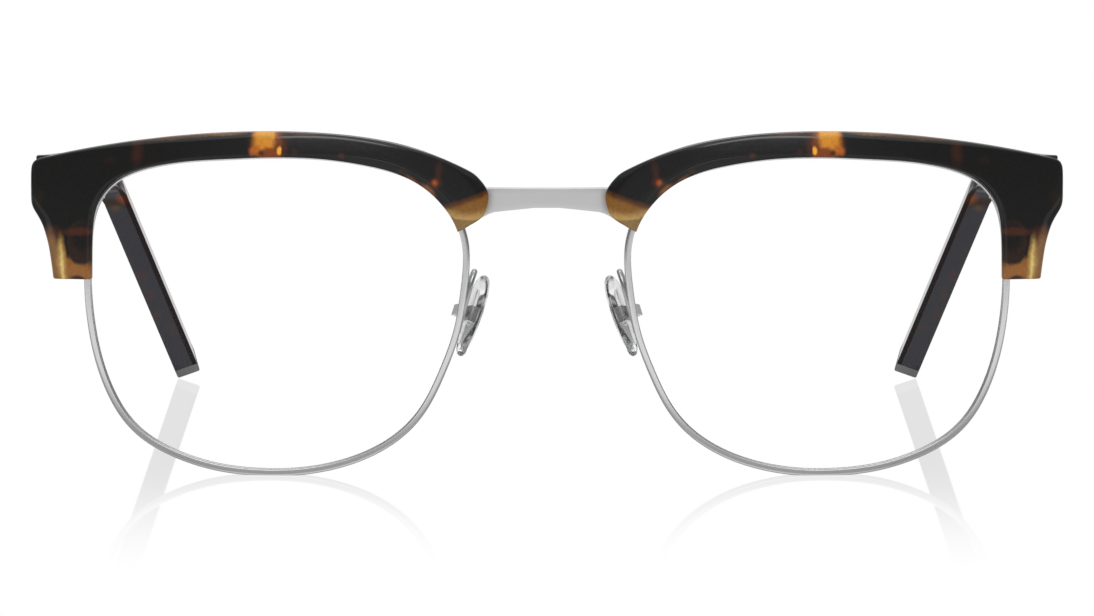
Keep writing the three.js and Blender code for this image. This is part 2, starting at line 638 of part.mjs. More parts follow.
const hingeEnd = new THREE.Vector3(-TEMPLE_X, 8.5, 40.6);
const bendStart = new THREE.Vector3(-TEMPLE_X - 2.2, 94, 37.35);   // splayed outwards
const bendControl = new THREE.Vector3(-TEMPLE_X - 2.38, 99.5, 37.2);
const bendEnd = new THREE.Vector3(-70.67, 102.6, 33.5);
const tipEnd = new THREE.Vector3(-61.29, 128.68, 2.26);
const shaft = new THREE.LineCurve3(hingeEnd, bendStart);
const bend = new THREE.QuadraticBezierCurve3(bendStart, bendControl, bendEnd);
const tip = new THREE.LineCurve3(bendEnd, tipEnd);
const BEND_STEPS = 7;
const tipShare = (length) => 1 - length / tip.getLength();   // a length short of the end

// roll, 0 to 1, turns and bevels the section
const templeStation = (curve, t, roll) =>
  ({ point: curve.getPoint(t), direction: curve.getTangent(t), roll });
const templeLine = [
  ...[0, 0.03, 0.1, 0.4, 0.75].map((t) => templeStation(shaft, t, 0)),
  ...Array.from({ length: BEND_STEPS + 1 },
    (_, i) => templeStation(bend, i / BEND_STEPS, i / BEND_STEPS)),
  ...[0.25, 0.5, 0.75, tipShare(CAP_L)].map((t) => templeStation(tip, t, 1)),
];
let templeLength = 0;
templeLine.forEach((station, i) => {
  if (i) templeLength += station.point.distanceTo(templeLine[i - 1].point);
  station.along = templeLength;
});

const advanced = (station, distance) => ({
  ...station,
  point: station.point.clone().addScaledVector(station.direction, distance),
});

// half width and half height at a distance along the temple
function templeSize(distance) {
  const share = distance / templeLength;
  return [
    (TEMPLE_W + (TEMPLE_TIP_W - TEMPLE_W) * share) / 2,
    (TEMPLE_H + (TEMPLE_TIP_H - TEMPLE_H) * share) / 2,
  ];
}

// places [inward, up] corners square to the station's direction
function placeSection({ point, direction }, corners, angle = 0) {
  const ahead = direction.clone().normalize();
  const level = new THREE.Vector3(1, 0, 0).addScaledVector(ahead, -ahead.x).normalize();
  const upright = new THREE.Vector3().crossVectors(level, ahead).normalize();
  const cos = Math.cos(angle);
  const sin = Math.sin(angle);
  const inward = level.clone().multiplyScalar(cos).addScaledVector(upright, sin);
  const up = upright.clone().multiplyScalar(cos).addScaledVector(level, -sin);
  return corners.map(([a, b]) =>
    point.clone().addScaledVector(inward, a).addScaledVector(up, b).toArray());
}

function templeSection(station, [hw, hh], topBevel, bevelShare = station.roll) {
  const across = LOW_BEVEL + (TIP_BEVEL.across - LOW_BEVEL) * bevelShare;
  const rise = LOW_BEVEL + (TIP_BEVEL.up - LOW_BEVEL) * bevelShare;
  return placeSection(station, [
    [-hw + LOW_BEVEL, -hh], [hw - across, -hh], [hw, -hh + rise], [hw, hh - topBevel],
    [hw - topBevel, hh], [-hw + topBevel, hh], [-hw, hh - topBevel], [-hw, -hh + LOW_BEVEL],
  ], TEMPLE_ROLL * station.roll);
}

const makeTempleBar = () => loft(templeLine.map((station, i) =>
  templeSection(station, templeSize(station.along), i ? TOP_BEVEL : TOP_BEVEL_START)));

// rectangular wire from the hinge end to the middle of the down-turned end,
// its first and last stations moved along it
function makeCore([hw, hh], startShift, endShift) {
  const line = templeLine.slice(0, -2);
  line[0] = advanced(line[0], startShift);
  line.push(advanced(line.pop(), endShift));
  return loft(line.map((station) =>
    placeSection(station, [[-hw, -hh], [hw, -hh], [hw, hh], [-hw, hh]])));
}

function makeEndCap() {
  const [hw, hh] = templeSize(templeLength);
  const full = [hw + CAP_PROUD, hh + CAP_PROUD];
  const end = templeStation(tip, 1, 1);
  return loft([
    templeSection(templeStation(tip, tipShare(CAP_L - CAP_GAP), 1), full, 0.45, 0),
    templeSection(advanced(end, -0.4), full, 0.45, 0),
    templeSection(end, [hw - 0.25, hh - 0.3], 0.4, 0),
  ]);
}

addPair('temple', cut(makeTempleBar(), makeCore(CORE_BORE, -1, 0), ...templeRivetHoles(1.6)),
  MATERIALS.acetate);
addPair('temple_core_wire', makeCore(CORE, 0.4, -0.15), MATERIALS.frameMetal);
addPair('temple_end_cap', makeEndCap(), MATERIALS.capMetal);

// ------------------------------------------------------------------ nose pads
const PAD_CENTRE = new THREE.Vector3(-10.4, 7.4, 21.6);
const PAD_TURN = THREE.MathUtils.degToRad(18);      // bearing face turned back
const PAD_SPLAY = THREE.MathUtils.degToRad(17.5);   // top closer to the nose
const PAD_LEAN = THREE.MathUtils.degToRad(14);      // top leaning back
const PAD_ROCK = -1.8;        // rocking axis, from the pad's middle away from the nose
const PAD_HW = 2.9;
const PAD_HH = 5.95;
const PAD_FLARE = 0.28;       // wider above, narrower below
const PAD_POINTS = 22;
const PAD_HOLE_R = 0.38;
// [scale of the outline, place along the pad's normal]
const PAD_RINGS = [[0.72, -0.85], [0.96, -0.5], [1, 0.05], [0.93, 0.55], [0.76, 0.75]];

// pad axes: normal towards the nose, up its length, across it towards the back
const padNormal = new THREE.Vector3(Math.cos(PAD_TURN), Math.sin(PAD_TURN), 0);
const padUp = new THREE.Vector3(Math.sin(PAD_SPLAY), Math.sin(PAD_LEAN), Math.cos(PAD_SPLAY))
  .normalize();
padNormal.addScaledVector(padUp, -padNormal.dot(padUp)).normalize();
const padAcross = new THREE.Vector3().crossVectors(padUp, padNormal).normalize();

const padPoint = (across, up, out) => PAD_CENTRE.clone().addScaledVector(padAcross, across)
  .addScaledVector(padUp, up).addScaledVector(padNormal, out).toArray();
const rockAxis = (across) => padPoint(across, 0, PAD_ROCK);
const rockHole = bar(rockAxis, -3, 3, PAD_HOLE_R);

// block centred on the pad's normal
const padBlock = (hw, hh, out0, out1) => loft([out0, out1].map((out) =>
  [[-hw, -hh], [hw, -hh], [hw, hh], [-hw, hh]].map(([a, b]) => padPoint(a, b, out))));

function makePadBody() {
  const outline = Array.from({ length: PAD_POINTS }, (_, i) => {
    const angle = (i / PAD_POINTS) * 2 * Math.PI;
    const sin = Math.sin(angle);
    return [PAD_HW * Math.cos(angle) * (1 + PAD_FLARE * sin), PAD_HH * sin];
  });
  return loft(PAD_RINGS.map(([scale, out]) =>
    outline.map(([across, up]) => padPoint(across * scale, up * scale, out))));
}

addPair('nose_pad', cut(makePadBody(), padBlock(1.93, 1.13, -1.5, 0.13)), MATERIALS.pad);
// plate in the pad's pocket, with a lug on the rocking axis
addPair('nose_pad_insert', cut(
  join(padBlock(1.9, 1.1, -1.06, 0.1), padBlock(0.45, 0.62, PAD_ROCK - 0.6, -1)),
  rockHole,
), MATERIALS.frameMetal);
// channel around the lug, open towards the pad and at top and bottom
addPair('pad_box', cut(
  padBlock(0.9, 0.78, PAD_ROCK - 0.95, PAD_ROCK + 0.5),
  padBlock(0.53, 2, PAD_ROCK - 0.72, PAD_ROCK + 3),
  rockHole,
), MATERIALS.frameMetal);
addPair('pad_screw', headedPin(rockAxis, [-0.98, 1, 0.35], [-1.35, -0.93, 0.62]),
  MATERIALS.screw);

// ------------------------------------------------------------------- pad arms
const ARM_R = 0.42;
// wire from the eyewire, up and over, down to the top of the pad box
const ARM_PATH = [
  [-12.35, 2.3, 19.9], [-11.8, 2.34, 22.0], [-11.12, 2.6, 24.4], [-10.5, 3.1, 26.7],
  [-10.08, 4.2, 28.0], [-10.4, 5.4, 27.3], [-11.25, 6.3, 25.5],
  padPoint(0, 2, PAD_ROCK - 0.2), padPoint(0, 0.82, PAD_ROCK - 0.2),
];

function makePadArm() {
  const extrudePath = new THREE.CatmullRomCurve3(
    ARM_PATH.map((point) => new THREE.Vector3(...point)));
  const profile = new THREE.Shape();
  profile.absarc(0, 0, ARM_R, 0, Math.PI * 2);
  return join(new THREE.ExtrudeGeometry(profile,
    { extrudePath, steps: 24, curveSegments: 4, bevelEnabled: false }));
}
addPair('pad_arm', makePadArm(), MATERIALS.frameMetal);

export default group;
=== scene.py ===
# Browline glasses: tortoise acetate brow pieces and temples, metal eyewires and bridge,
# clear lenses and nose pads. They stand open on a pale floor and face -Y.
# Shapes are in millimetres: X across (-X is the "right_" side), Y back from the front plane
# and Z up from the floor. They are drawn for the right side and mirrored for the left.
# Lights, camera, floor and bevels are in metres.
import math

import bmesh
import bpy
import numpy as np
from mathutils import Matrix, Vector


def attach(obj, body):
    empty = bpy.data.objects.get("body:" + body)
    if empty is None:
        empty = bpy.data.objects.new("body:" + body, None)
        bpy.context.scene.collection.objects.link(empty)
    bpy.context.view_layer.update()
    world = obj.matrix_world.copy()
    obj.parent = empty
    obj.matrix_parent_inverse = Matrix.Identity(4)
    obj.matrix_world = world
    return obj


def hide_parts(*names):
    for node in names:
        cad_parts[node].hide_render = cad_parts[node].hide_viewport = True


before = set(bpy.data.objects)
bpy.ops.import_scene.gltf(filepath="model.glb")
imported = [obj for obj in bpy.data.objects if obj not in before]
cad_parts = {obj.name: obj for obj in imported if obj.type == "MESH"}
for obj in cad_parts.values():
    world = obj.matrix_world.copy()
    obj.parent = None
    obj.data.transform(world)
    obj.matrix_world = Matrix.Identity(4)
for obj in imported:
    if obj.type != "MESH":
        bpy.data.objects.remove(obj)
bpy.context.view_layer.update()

MM = 0.001
ORIGIN_Y = 64.715                       # front plane to the scene origin

# ------------------------------------------------------------------ face surface
LENS_X, LENS_Z = 37.3, 22.4             # middle of a lens
FACE_DIAMETER = 280.0                   # twice the radius of the lens curve
FACE_WRAP = 0.061                       # backward slope away from the nose


def face_y(x, z):
    """Y of the curved surface that the front follows."""
    across, up = abs(x) - LENS_X, z - LENS_Z
    return (across * across + up * up) / FACE_DIAMETER + FACE_WRAP * across


# ------------------------------------------------------------------ curve helpers
def unit(vector):
    return vector / np.linalg.norm(vector)


def fit_closed_curve(points, harmonics, samples):
    """Fourier curve through a closed outline: evenly spaced samples and its length."""
    def basis(angles):
        waves = [f(k * angles) for k in range(1, harmonics + 1) for f in (np.cos, np.sin)]
        return np.array([np.ones_like(angles)] + waves).T

    points = np.array(points, float)
    travelled = np.r_[0, np.cumsum(np.hypot(*(np.roll(points, -1, 0) - points).T))]
    angles = travelled[:-1] / travelled[-1] * 2 * np.pi
    weights, *_ = np.linalg.lstsq(basis(angles), points, rcond=None)
    curve = basis(np.linspace(0, 2 * np.pi, 4001)) @ weights
    travelled = np.r_[0, np.cumsum(np.hypot(*np.diff(curve, axis=0).T))]
    even = np.linspace(0, travelled[-1], samples, endpoint=False)
    return np.c_[[np.interp(even, travelled, column) for column in curve.T]].T, travelled[-1]


def akima(rows, stations):
    """Akima interpolation of each column; row i of the table lies at station i."""
    slopes = np.diff(rows, axis=0)
    before = 2 * slopes[0] - slopes[1]
    after = 2 * slopes[-1] - slopes[-2]
    slopes = np.vstack([2 * before - slopes[0], before, slopes, after, 2 * after - slopes[-1]])
    left, right = slopes[1:-2], slopes[2:-1]
    left_weight = np.abs(slopes[3:] - right)
    right_weight = np.abs(left - slopes[:-3])
    total = left_weight + right_weight
    bent = total > 1e-9
    tangents = np.where(
        bent,
        (left_weight * left + right_weight * right) / np.where(bent, total, 1),
        (left + right) / 2)
    i = np.clip(np.floor(stations).astype(int), 0, len(rows) - 2)
    t = (stations - i)[:, None]
    return ((2 * t**3 - 3 * t**2 + 1) * rows[i] + (t**3 - 2 * t**2 + t) * tangents[i]
            + (-2 * t**3 + 3 * t**2) * rows[i + 1] + (t**3 - t**2) * tangents[i + 1])


def smooth(rows, size):
    """Weighted moving average down each column, over an odd number of rows."""
    kernel = np.hanning(size + 2)[1:-1]
    kernel /= kernel.sum()
    padded = np.pad(rows, [(size // 2, size // 2), (0, 0)], mode="edge")
    return np.apply_along_axis(np.convolve, 0, padded, kernel, "valid")


def catmull_rom(points, steps):
    """Smooth path through the points, with a number of steps between each two."""
    points = [np.array(p, float) for p in points]
    points = [2 * points[0] - points[1]] + points + [2 * points[-1] - points[-2]]
    path = []
    for i in range(1, len(points) - 2):
        before, start, end, after = points[i - 1:i + 3]
        for t in np.linspace(0, 1, steps, endpoint=False):
            path.append(0.5 * (2 * start + (end - before) * t
                               + (2 * before - 5 * start + 4 * end - after) * t * t
                               + (-before + 3 * start - 3 * end + after) * t ** 3))
    path.append(points[-2])
    return path


def round_corners(corners, radii, steps, fills):
    """Rounds a 2D polygon: steps + 1 points a corner and fills[i] points on the edge after it."""
    count = len(corners)
    corners = np.array(corners, float)
    edges = np.roll(corners, -1, 0) - corners
    lengths = np.linalg.norm(edges, axis=1)
    directions = edges / lengths[:, None]
    cuts = [min(radii[i], 0.46 * lengths[i - 1], 0.46 * lengths[i]) for i in range(count)]
    outline = []
    for i, corner in enumerate(corners):
        following = (i + 1) % count
        start = corner - directions[i - 1] * cuts[i]
        end = corner + directions[i] * cuts[i]
        for k in range(steps + 1):
            t = k / steps
            outline.append((1 - t) ** 2 * start + 2 * t * (1 - t) * corner + t * t * end)
        edge_end = corners[following] - directions[i] * cuts[following]
        for k in range(1, fills[i] + 1):
            outline.append(end + (edge_end - end) * k / (fills[i] + 1))
    return outline


# ------------------------------------------------------------------ mesh helpers
def loft(sections, caps=True):
    """Quads between matching closed sections; returns vertices and faces."""
    size = len(sections[0])
    verts = [point for section in sections for point in section]
    faces = []
    for near in range(0, (len(sections) - 1) * size, size):
        far = near + size
        for j in range(size):
            k = (j + 1) % size
            faces.append((near + j, far + j, far + k, near + k))
    if caps:
        faces.append(tuple(range(size)))
        faces.append(tuple(reversed(range(len(verts) - size, len(verts)))))
    return verts, faces


def round_start(sections, radius, steps):
    """Rounds the first end of a loft with sections that draw in towards their middle."""
    first = np.array(sections[0], float)
    centre = first.mean(0)
    outward = unit(centre - np.mean(sections[1], axis=0))
    spokes = first - centre
    lengths = np.linalg.norm(spokes, axis=1, keepdims=True)
    rings = [first - outward * radius]
    for k in range(1, steps + 1):
        angle = (k / steps) * math.pi / 2
        inset = radius * (1 - math.cos(angle))
        ring = centre + spokes * (1 - inset / np.maximum(lengths, inset * 1.2))
        rings.append(ring + outward * (radius * math.sin(angle) - radius))
    return rings[::-1] + sections[1:]


def round_wire(path, radius, points):
    """Round wire with domed ends along a path."""
    ahead, behind = path[1:] + path[-1:], path[:1] + path[:-1]
    tangents = [unit(b - a) for a, b in zip(behind, ahead)]
    angles = np.linspace(0, 2 * math.pi, points, endpoint=False)

    def hoop(centre, up, side, size):
        return [centre + (up * math.cos(a) + side * math.sin(a)) * size for a in angles]

    def dome(centre, up, side, outward):
        hoops = []
        for k in range(1, 5):
            angle = k / 4 * math.pi / 2 * 0.98      # stops short of a point
            middle = centre + outward * radius * math.sin(angle)
            hoops.append(hoop(middle, up, side, radius * math.cos(angle)))
        return hoops

    up = unit(np.cross(tangents[0], [0.3, 0.5, 0.8]))
    stations = []
    for centre, tangent in zip(path, tangents):
        up = unit(up - tangent * (up @ tangent))
        stations.append((centre, up, np.cross(tangent, up)))
    hoops = dome(*stations[0], -tangents[0])[::-1]
    hoops += [hoop(*station, radius) for station in stations]
    hoops += dome(*stations[-1], tangents[-1])
    return loft(hoops)


RIGHT, LEFT = "right_", "left_"
rebuilt = set()                         # pieces given a new shape here


def build(name, geometry, material, body, prefixes=(RIGHT, LEFT), weighted=True):
    """Makes <name>_shaped in place of a loaded piece, mirrored for the left side."""
    rebuilt.add(name)
    for prefix in prefixes:
        verts, faces = geometry
        verts = np.array(verts, float)
        if prefix == LEFT:
            verts = verts * [-1, 1, 1]
            faces = [tuple(reversed(face)) for face in faces]
        verts = (verts - [0, ORIGIN_Y, 0]) * MM
        mesh = bpy.data.meshes.new(prefix + name + "_shaped")
        mesh.from_pydata(verts.tolist(), [], faces)
        mesh.validate()
        edit = bmesh.new()
        edit.from_mesh(mesh)
        bmesh.ops.remove_doubles(edit, verts=edit.verts, dist=1e-7)
        bmesh.ops.recalc_face_normals(edit, faces=edit.faces)
        edit.to_mesh(mesh)
        edit.free()
        for polygon in mesh.polygons:
            polygon.use_smooth = True
        piece = bpy.data.objects.new(prefix + name + "_shaped", mesh)
        bpy.context.scene.collection.objects.link(piece)
        mesh.materials.append(material)
        if weighted:
            normals = piece.modifiers.new("normals", "WEIGHTED_NORMAL")
            normals.keep_sharp = True
            normals.weight = 60
        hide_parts(prefix + name)
        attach(piece, body if body == "front" else prefix + body)


# ------------------------------------------------------------------ lens opening
# Opening outline (x, z), from the temporal side down, round by the nose and back.
OPENING = [
    (-63.15, 26.54), (-62.87, 22.21), (-62.19, 17.92), (-61.02, 13.75), (-59.23, 9.8),
    (-56.55, 6.41), (-52.95, 4.01), (-48.94, 2.38), (-44.72, 1.38), (-40.41, 0.93),
    (-36.07, 0.93), (-31.76, 1.41), (-27.56, 2.47), (-23.59, 4.19), (-20.05, 6.69),
    (-17.31, 10.04), (-15.34, 13.9), (-13.74, 17.93), (-12.61, 22.11), (-11.97, 26.4),
    (-11.71, 30.73), (-12.69, 34.92), (-15.23, 38.41), (-18.78, 40.87), (-22.88, 42.27),
    (-27.13, 43.12), (-31.44, 43.62), (-35.77, 43.79), (-40.11, 43.72), (-44.44, 43.52),
    (-48.77, 43.24), (-53.07, 42.66), (-57.24, 41.47), (-60.79, 39.07), (-62.61, 35.18),
    (-63.08, 30.87),
]
RIM_SAMPLES = 4000
RIM_POINTS, RIM_LENGTH = fit_closed_curve(OPENING, harmonics=15, samples=RIM_SAMPLES)


def outward_normals(points):
    along = np.roll(points, -8, 0) - np.roll(points, 8, 0)
    along /= np.linalg.norm(along, axis=1, keepdims=True)
    normals = np.c_[along[:, 1], -along[:, 0]]
    inward = ((points - [-LENS_X, LENS_Z]) * normals).sum(1) < 0
    normals[inward] *= -1
    return normals


def nearest_sample(x, z):
    return int(np.argmin((RIM_POINTS[:, 0] - x) ** 2 + (RIM_POINTS[:, 1] - z) ** 2))


RIM_NORMALS = outward_normals(RIM_POINTS)
SPLIT_SAMPLE = nearest_sample(*OPENING[-1])     # the eyewire is split here


def nearest_rim(x, z):
    """Nearest outline point and its outward normal."""
    i = nearest_sample(x, z)
    return RIM_POINTS[i], RIM_NORMALS[i]


def rim_at(distance):
    """Outline point and normal at a distance from the split, down the temporal side."""
    sample = (SPLIT_SAMPLE + distance / RIM_LENGTH * RIM_SAMPLES) % RIM_SAMPLES
    i = int(sample)
    j = (i + 1) % RIM_SAMPLES
    t = sample - i
    point = RIM_POINTS[i] * (1 - t) + RIM_POINTS[j] * t
    return point, unit(RIM_NORMALS[i] * (1 - t) + RIM_NORMALS[j] * t)


def on_rim(distance, outward, depth):
    """3D point at an offset from the outline, outward and behind the face surface."""
    point, normal = rim_at(distance)
    x, z = point + normal * outward
    return x, face_y(x, z) + depth, z


# ------------------------------------------------------------------ node helpers
class Nodes:
    """Fills a node tree. Methods add a node and return one of its output sockets."""

    def __init__(self, tree):
        tree.nodes.clear()
        self.tree = tree

    def add_node(self, kind, inputs=None, **settings):
        """Inputs map socket names or indices to values or to sockets to link."""
        node = self.tree.nodes.new("ShaderNode" + kind)
        for key, value in settings.items():
            setattr(node, key, value)
        for key, value in (inputs or {}).items():
            if isinstance(value, bpy.types.NodeSocket):
                self.tree.links.new(value, node.inputs[key])
            else:
                node.inputs[key].default_value = value
        return node

    def add(self, kind, inputs=None, output=0, **settings):
        return self.add_node(kind, inputs, **settings).outputs[output]

    def math(self, operation, *values):
        return self.add("Math", dict(enumerate(values)), operation=operation)

    def vector(self, operation, *values, output=0):
        inputs = dict(enumerate(values))
        return self.add("VectorMath", inputs, output, operation=operation)

    def scaled(self, vector, factor):
        return self.add("VectorMath", {0: vector, "Scale": factor}, operation="SCALE")

    def separate(self, vector):
        return self.add_node("SeparateXYZ", {0: vector}).outputs

    def noise(self, vector, scale, detail, roughness=0.5, output="Fac"):
        inputs = {"Vector": vector, "Scale": scale, "Detail": detail, "Roughness": roughness}
        return self.add("TexNoise", inputs, output)

    def map_range(self, value, source=(0.0, 1.0), result=(0.0, 1.0), eased=False):
        inputs = dict(enumerate((value, *source, *result)))
        kind = "SMOOTHSTEP" if eased else "LINEAR"
        return self.add("MapRange", inputs, interpolation_type=kind)

    def mix(self, factor, first, second):
        return self.add("Mix", {0: factor, 6: first, 7: second}, 2, data_type="RGBA")

    def mix_shader(self, factor, first, second):
        return self.add("MixShader", {0: factor, 1: first, 2: second})

    def bump(self, height, strength, distance):
        return self.add("Bump", {"Height": height, "Strength": strength, "Distance": distance})


def new_material(name):
    material = bpy.data.materials.new(name)
    material.use_nodes = True
    return material, Nodes(material.node_tree)


def srgb(*channels):
    """Linear colour from 8-bit sRGB channels."""
    def linear(value):
        return value / 12.92 if value <= 0.04045 else ((value + 0.055) / 1.055) ** 2.4
    return (*(linear(channel / 255) for channel in channels), 1.0)


# ------------------------------------------------------------------ metals
def metal(name, color, roughness, bump, glow=0.0, walls=1.0):
    """Satin metal with painted shade: upward faces darker, walls scales faces turned away from Y.
    """
    material, nodes = new_material(name)
    place = nodes.add("TexCoord", output="Object")
    grain = nodes.noise(place, scale=900.0, detail=4.0, roughness=0.6)
    broad = nodes.noise(place, scale=108.0, detail=3.0)
    darker = tuple(c * 0.93 for c in color[:3]) + (1,)
    lighter = tuple(min(1, c * 1.05) for c in color[:3]) + (1,)
    tint = nodes.mix(broad, darker, lighter)
    normal = nodes.separate(nodes.add("NewGeometry", output="True Normal"))
    # painted shade: darker colour on upward faces and, by walls, on faces turned away from Y
    painted_top_shade = nodes.map_range(normal["Z"], source=(0.6, 0.9), result=(1.0, 0.45))
    facing = nodes.math("ABSOLUTE", normal["Y"])
    painted_wall_shade = nodes.map_range(facing, source=(0.35, 0.72), result=(walls, 1.0))
    shade = nodes.math("MULTIPLY", painted_top_shade, painted_wall_shade)
    inputs = {
        "Metallic": 1.0,
        "Base Color": nodes.scaled(tint, shade),
        "Roughness": nodes.map_range(grain, result=(roughness * 0.9, roughness * 1.12)),
        "Normal": nodes.bump(grain, strength=bump, distance=0.00002),
    }
    # painted light: a white glow that brightens the metal, though it is no lamp
    if glow:
        inputs["Emission Color"] = (1, 1, 1, 1)
        inputs["Emission Strength"] = glow
    nodes.add_node("OutputMaterial", {0: nodes.add("BsdfPrincipled", inputs)})
    return material


METAL = metal("satin_metal", srgb(203, 203, 204), roughness=0.24, bump=0.008)
# the eyewire gets strong painted shade on its walls
RIM_METAL = metal("satin_metal_rim", srgb(226, 226, 227), roughness=0.24, bump=0.004, walls=0.42)
# the bridge and the pad boxes glow a little: painted light
BRIDGE_METAL = metal(
    "satin_metal_bridge", srgb(170, 170, 171), roughness=0.36, bump=0.02, glow=0.215)
PAD_BOX_METAL = metal("pad_box_metal", srgb(205, 205, 206), roughness=0.35, bump=0.02, glow=0.16)
CAP_METAL = metal("end_cap_metal", srgb(114, 114, 115), roughness=0.5, bump=0.05)
SCREW_STEEL = metal("screw_steel", srgb(214, 214, 217), roughness=0.18, bump=0.08)

# ------------------------------------------------------------------ acetate
AMBER = srgb(136, 90, 46)
RUST = srgb(78, 42, 30)
BROWN = srgb(96, 66, 42)
COCOA = srgb(44, 33, 28)
CHESTNUT = srgb(84, 42, 24)
DARK = (0.0098, 0.0098, 0.0096, 1)

# Patches of colour in the brow pieces: x, z, radius in x, radius in z, turn in degrees,
# edge softness, colour, strength. Later patches cover earlier ones.
BROW_CLOUDS = [
    # nasal tip
    (-10.5, 35.0, 6.0, 5.0, 0, 0.1, srgb(130, 103, 64), 1.0),
    (-10.9, 41.3, 5.8, 5.8, 0, 0.03, srgb(170, 138, 84), 1.0),
    (-10.9, 41.3, 5.3, 5.3, 0, 0.18, srgb(121, 82, 37), 1.0),
    (-20.77, 66.75, 30.6, 30.6, 0, 0.02, srgb(72, 42, 24), 1.0),
    (-20.77, 66.75, 29.9, 29.9, 0, 0.012, DARK, 1.0),
    (-44.0, 47.0, 10.5, 8.0, 0, 0.08, DARK, 1.0),
    # temporal leg
    (-66.3, 27.4, 4.6, 2.9, 0, 0.35, AMBER, 1.0),
    (-68.7, 30.2, 1.3, 4.0, 4, 0.5, srgb(130, 94, 58), 0.9),
    (-67.15, 29.5, 0.72, 3.8, 4, 0.5, srgb(160, 126, 70), 1.0),
    (-67.1, 29.0, 0.30, 3.2, 4, 0.7, srgb(204, 178, 112), 0.9),
    (-64.45, 32.2, 2.0, 3.2, 0, 0.14, COCOA, 1.0),
    (-64.2, 33.0, 1.7, 2.2, 0, 0.5, DARK, 0.9),
    (-64.85, 33.75, 2.4, 0.66, 3, 0.6, RUST, 0.65),
    (-68.2, 33.6, 1.3, 1.0, 0, 0.8, RUST, 0.4),
    (-64.9, 27.1, 1.3, 0.62, 0, 0.5, srgb(52, 30, 20), 1.0),
    # bright patch near the middle of the brow
    (-38.2, 45.8, 2.6, 3.2, 0, 0.6, CHESTNUT, 0.85),
    (-38.75, 46.9, 1.75, 2.7, -8, 0.42, srgb(192, 124, 40), 1.0),
    (-40.1, 45.1, 0.85, 0.7, 25, 0.7, srgb(166, 88, 34), 0.95),
    (-38.6, 47.3, 1.35, 0.7, 0, 0.7, srgb(184, 134, 46), 0.8),
    (-38.0, 44.4, 1.55, 1.2, 0, 0.35, srgb(118, 58, 26), 1.0),
    (-39.25, 44.75, 0.5, 0.5, 0, 0.8, srgb(62, 32, 22), 0.9),
    (-36.9, 46.6, 0.6, 1.6, 0, 0.9, srgb(110, 58, 30), 0.8),
    (-36.75, 45.1, 0.32, 0.62, -8, 0.5, srgb(232, 158, 54), 1.0),
    # dim streaks and spots
    (-50.5, 46.85, 7.0, 0.30, 5, 0.8, BROWN, 0.5),
    (-44.5, 47.35, 3.4, 0.26, 3, 0.8, srgb(130, 92, 44), 0.45),
    (-33.5, 47.4, 3.0, 0.22, -3, 0.8, BROWN, 0.4),
    (-56.5, 44.8, 0.85, 2.0, -4, 0.9, RUST, 0.4),
    (-60.3, 43.6, 0.9, 0.6, 0, 0.9, RUST, 0.12),
    (-70.4, 38.4, 0.8, 1.3, 0, 0.9, srgb(48, 38, 24), 0.3),
    (-28.2, 44.4, 0.5, 0.4, 0, 0.8, RUST, 0.6),
    (-34.6, 44.9, 0.5, 0.5, 0, 0.8, RUST, 0.3),
    (-20.0, 42.2, 0.7, 0.35, 0, 0.8, RUST, 0.4),
    (-14.9, 42.0, 0.55, 1.8, -8, 1.0, RUST, 0.45),
    (-15.35, 40.55, 0.9, 0.75, 10, 1.0, CHESTNUT, 0.8),
    (-15.35, 40.6, 0.4, 0.48, 10, 1.0, srgb(160, 80, 30), 0.9),
    (-16.3, 39.75, 1.3, 0.42, -42, 0.8, srgb(134, 84, 48), 0.8),
    (-18.3, 40.95, 1.5, 0.3, -36, 0.8, srgb(112, 66, 38), 0.75),
]
# The same for the temples, with scene y (front plane at -64.715) and z in place of x and z.
# Patches with two more values, x and radius in x, are also bounded across the temple.
TEMPLE_CLOUDS = [
    (36.6, 31.5, 3.4, 0.95, 0, 0.7, srgb(46, 28, 17), 0.95),
    (36.2, 31.9, 2.6, 0.62, 20, 0.9, srgb(124, 62, 24), 0.95, -68.9, 1.1),
    (37.4, 30.6, 2.0, 0.7, 0, 0.9, srgb(96, 66, 32), 0.7, -70.2, 1.0),
    (20.0, 40.5, 7.0, 1.6, 4, 0.6, BROWN, 0.8),
    (-8.0, 39.0, 6.0, 1.5, -3, 0.6, AMBER, 0.7),
    (-30.0, 42.0, 5.0, 1.3, 2, 0.6, RUST, 0.9),
    (-44.0, 39.5, 5.0, 1.4, 0, 0.6, BROWN, 0.7),
    (46.4, 18.6, 2.2, 1.5, 0, 0.9, RUST, 0.45, -67.0, 0.7),
    (48.9, 15.0, 2.2, 1.4, 0, 0.9, RUST, 0.4, -66.0, 0.7),
    (52.0, 11.6, 2.2, 1.3, 0, 0.9, RUST, 0.35, -65.0, 0.7),
    (57.0, 12.0, 1.8, 3.0, 40, 0.7, RUST, 0.5),
]


def right_side_place(nodes, place):
    """Object coordinates in mm, with the left side folded onto the right."""
    axes = nodes.separate(place)
    folded = nodes.math("MULTIPLY", nodes.math("ABSOLUTE", axes["X"]), -1.0)
    joined = nodes.add("CombineXYZ", {0: folded, 1: axes["Y"], 2: axes["Z"]})
    return nodes.scaled(joined, 1000.0)


def add_cloud(nodes, place, color, cloud, on_temple):
    """Lays one patch of a cloud table over the colour."""
    along, z, radius_along, radius_z, turn, softness, cloud_color, strength, *across = cloud
    if on_temple:
        x, scale_x = (across[0], 1 / across[1]) if across else (0, 0.0)
        centre = (x, along, z)
        turns = (math.radians(turn), 0, 0)
        scale = (scale_x, 1 / radius_along, 1 / radius_z)
    else:
        centre = (along, 0, z)
        turns = (0, math.radians(turn), 0)
        scale = (1 / radius_along, 0.0, 1 / radius_z)
    offset = nodes.vector("SUBTRACT", place, centre)
    turned = nodes.add("Mapping", {0: offset, "Rotation": turns})
    reach = nodes.vector("LENGTH", nodes.vector("MULTIPLY", turned, scale), output="Value")
    edge = (1.0 + softness * 0.5, 1.0 - softness)
    mask = nodes.map_range(reach, source=edge, result=(0.0, strength), eased=True)
    return nodes.mix(mask, color, cloud_color)


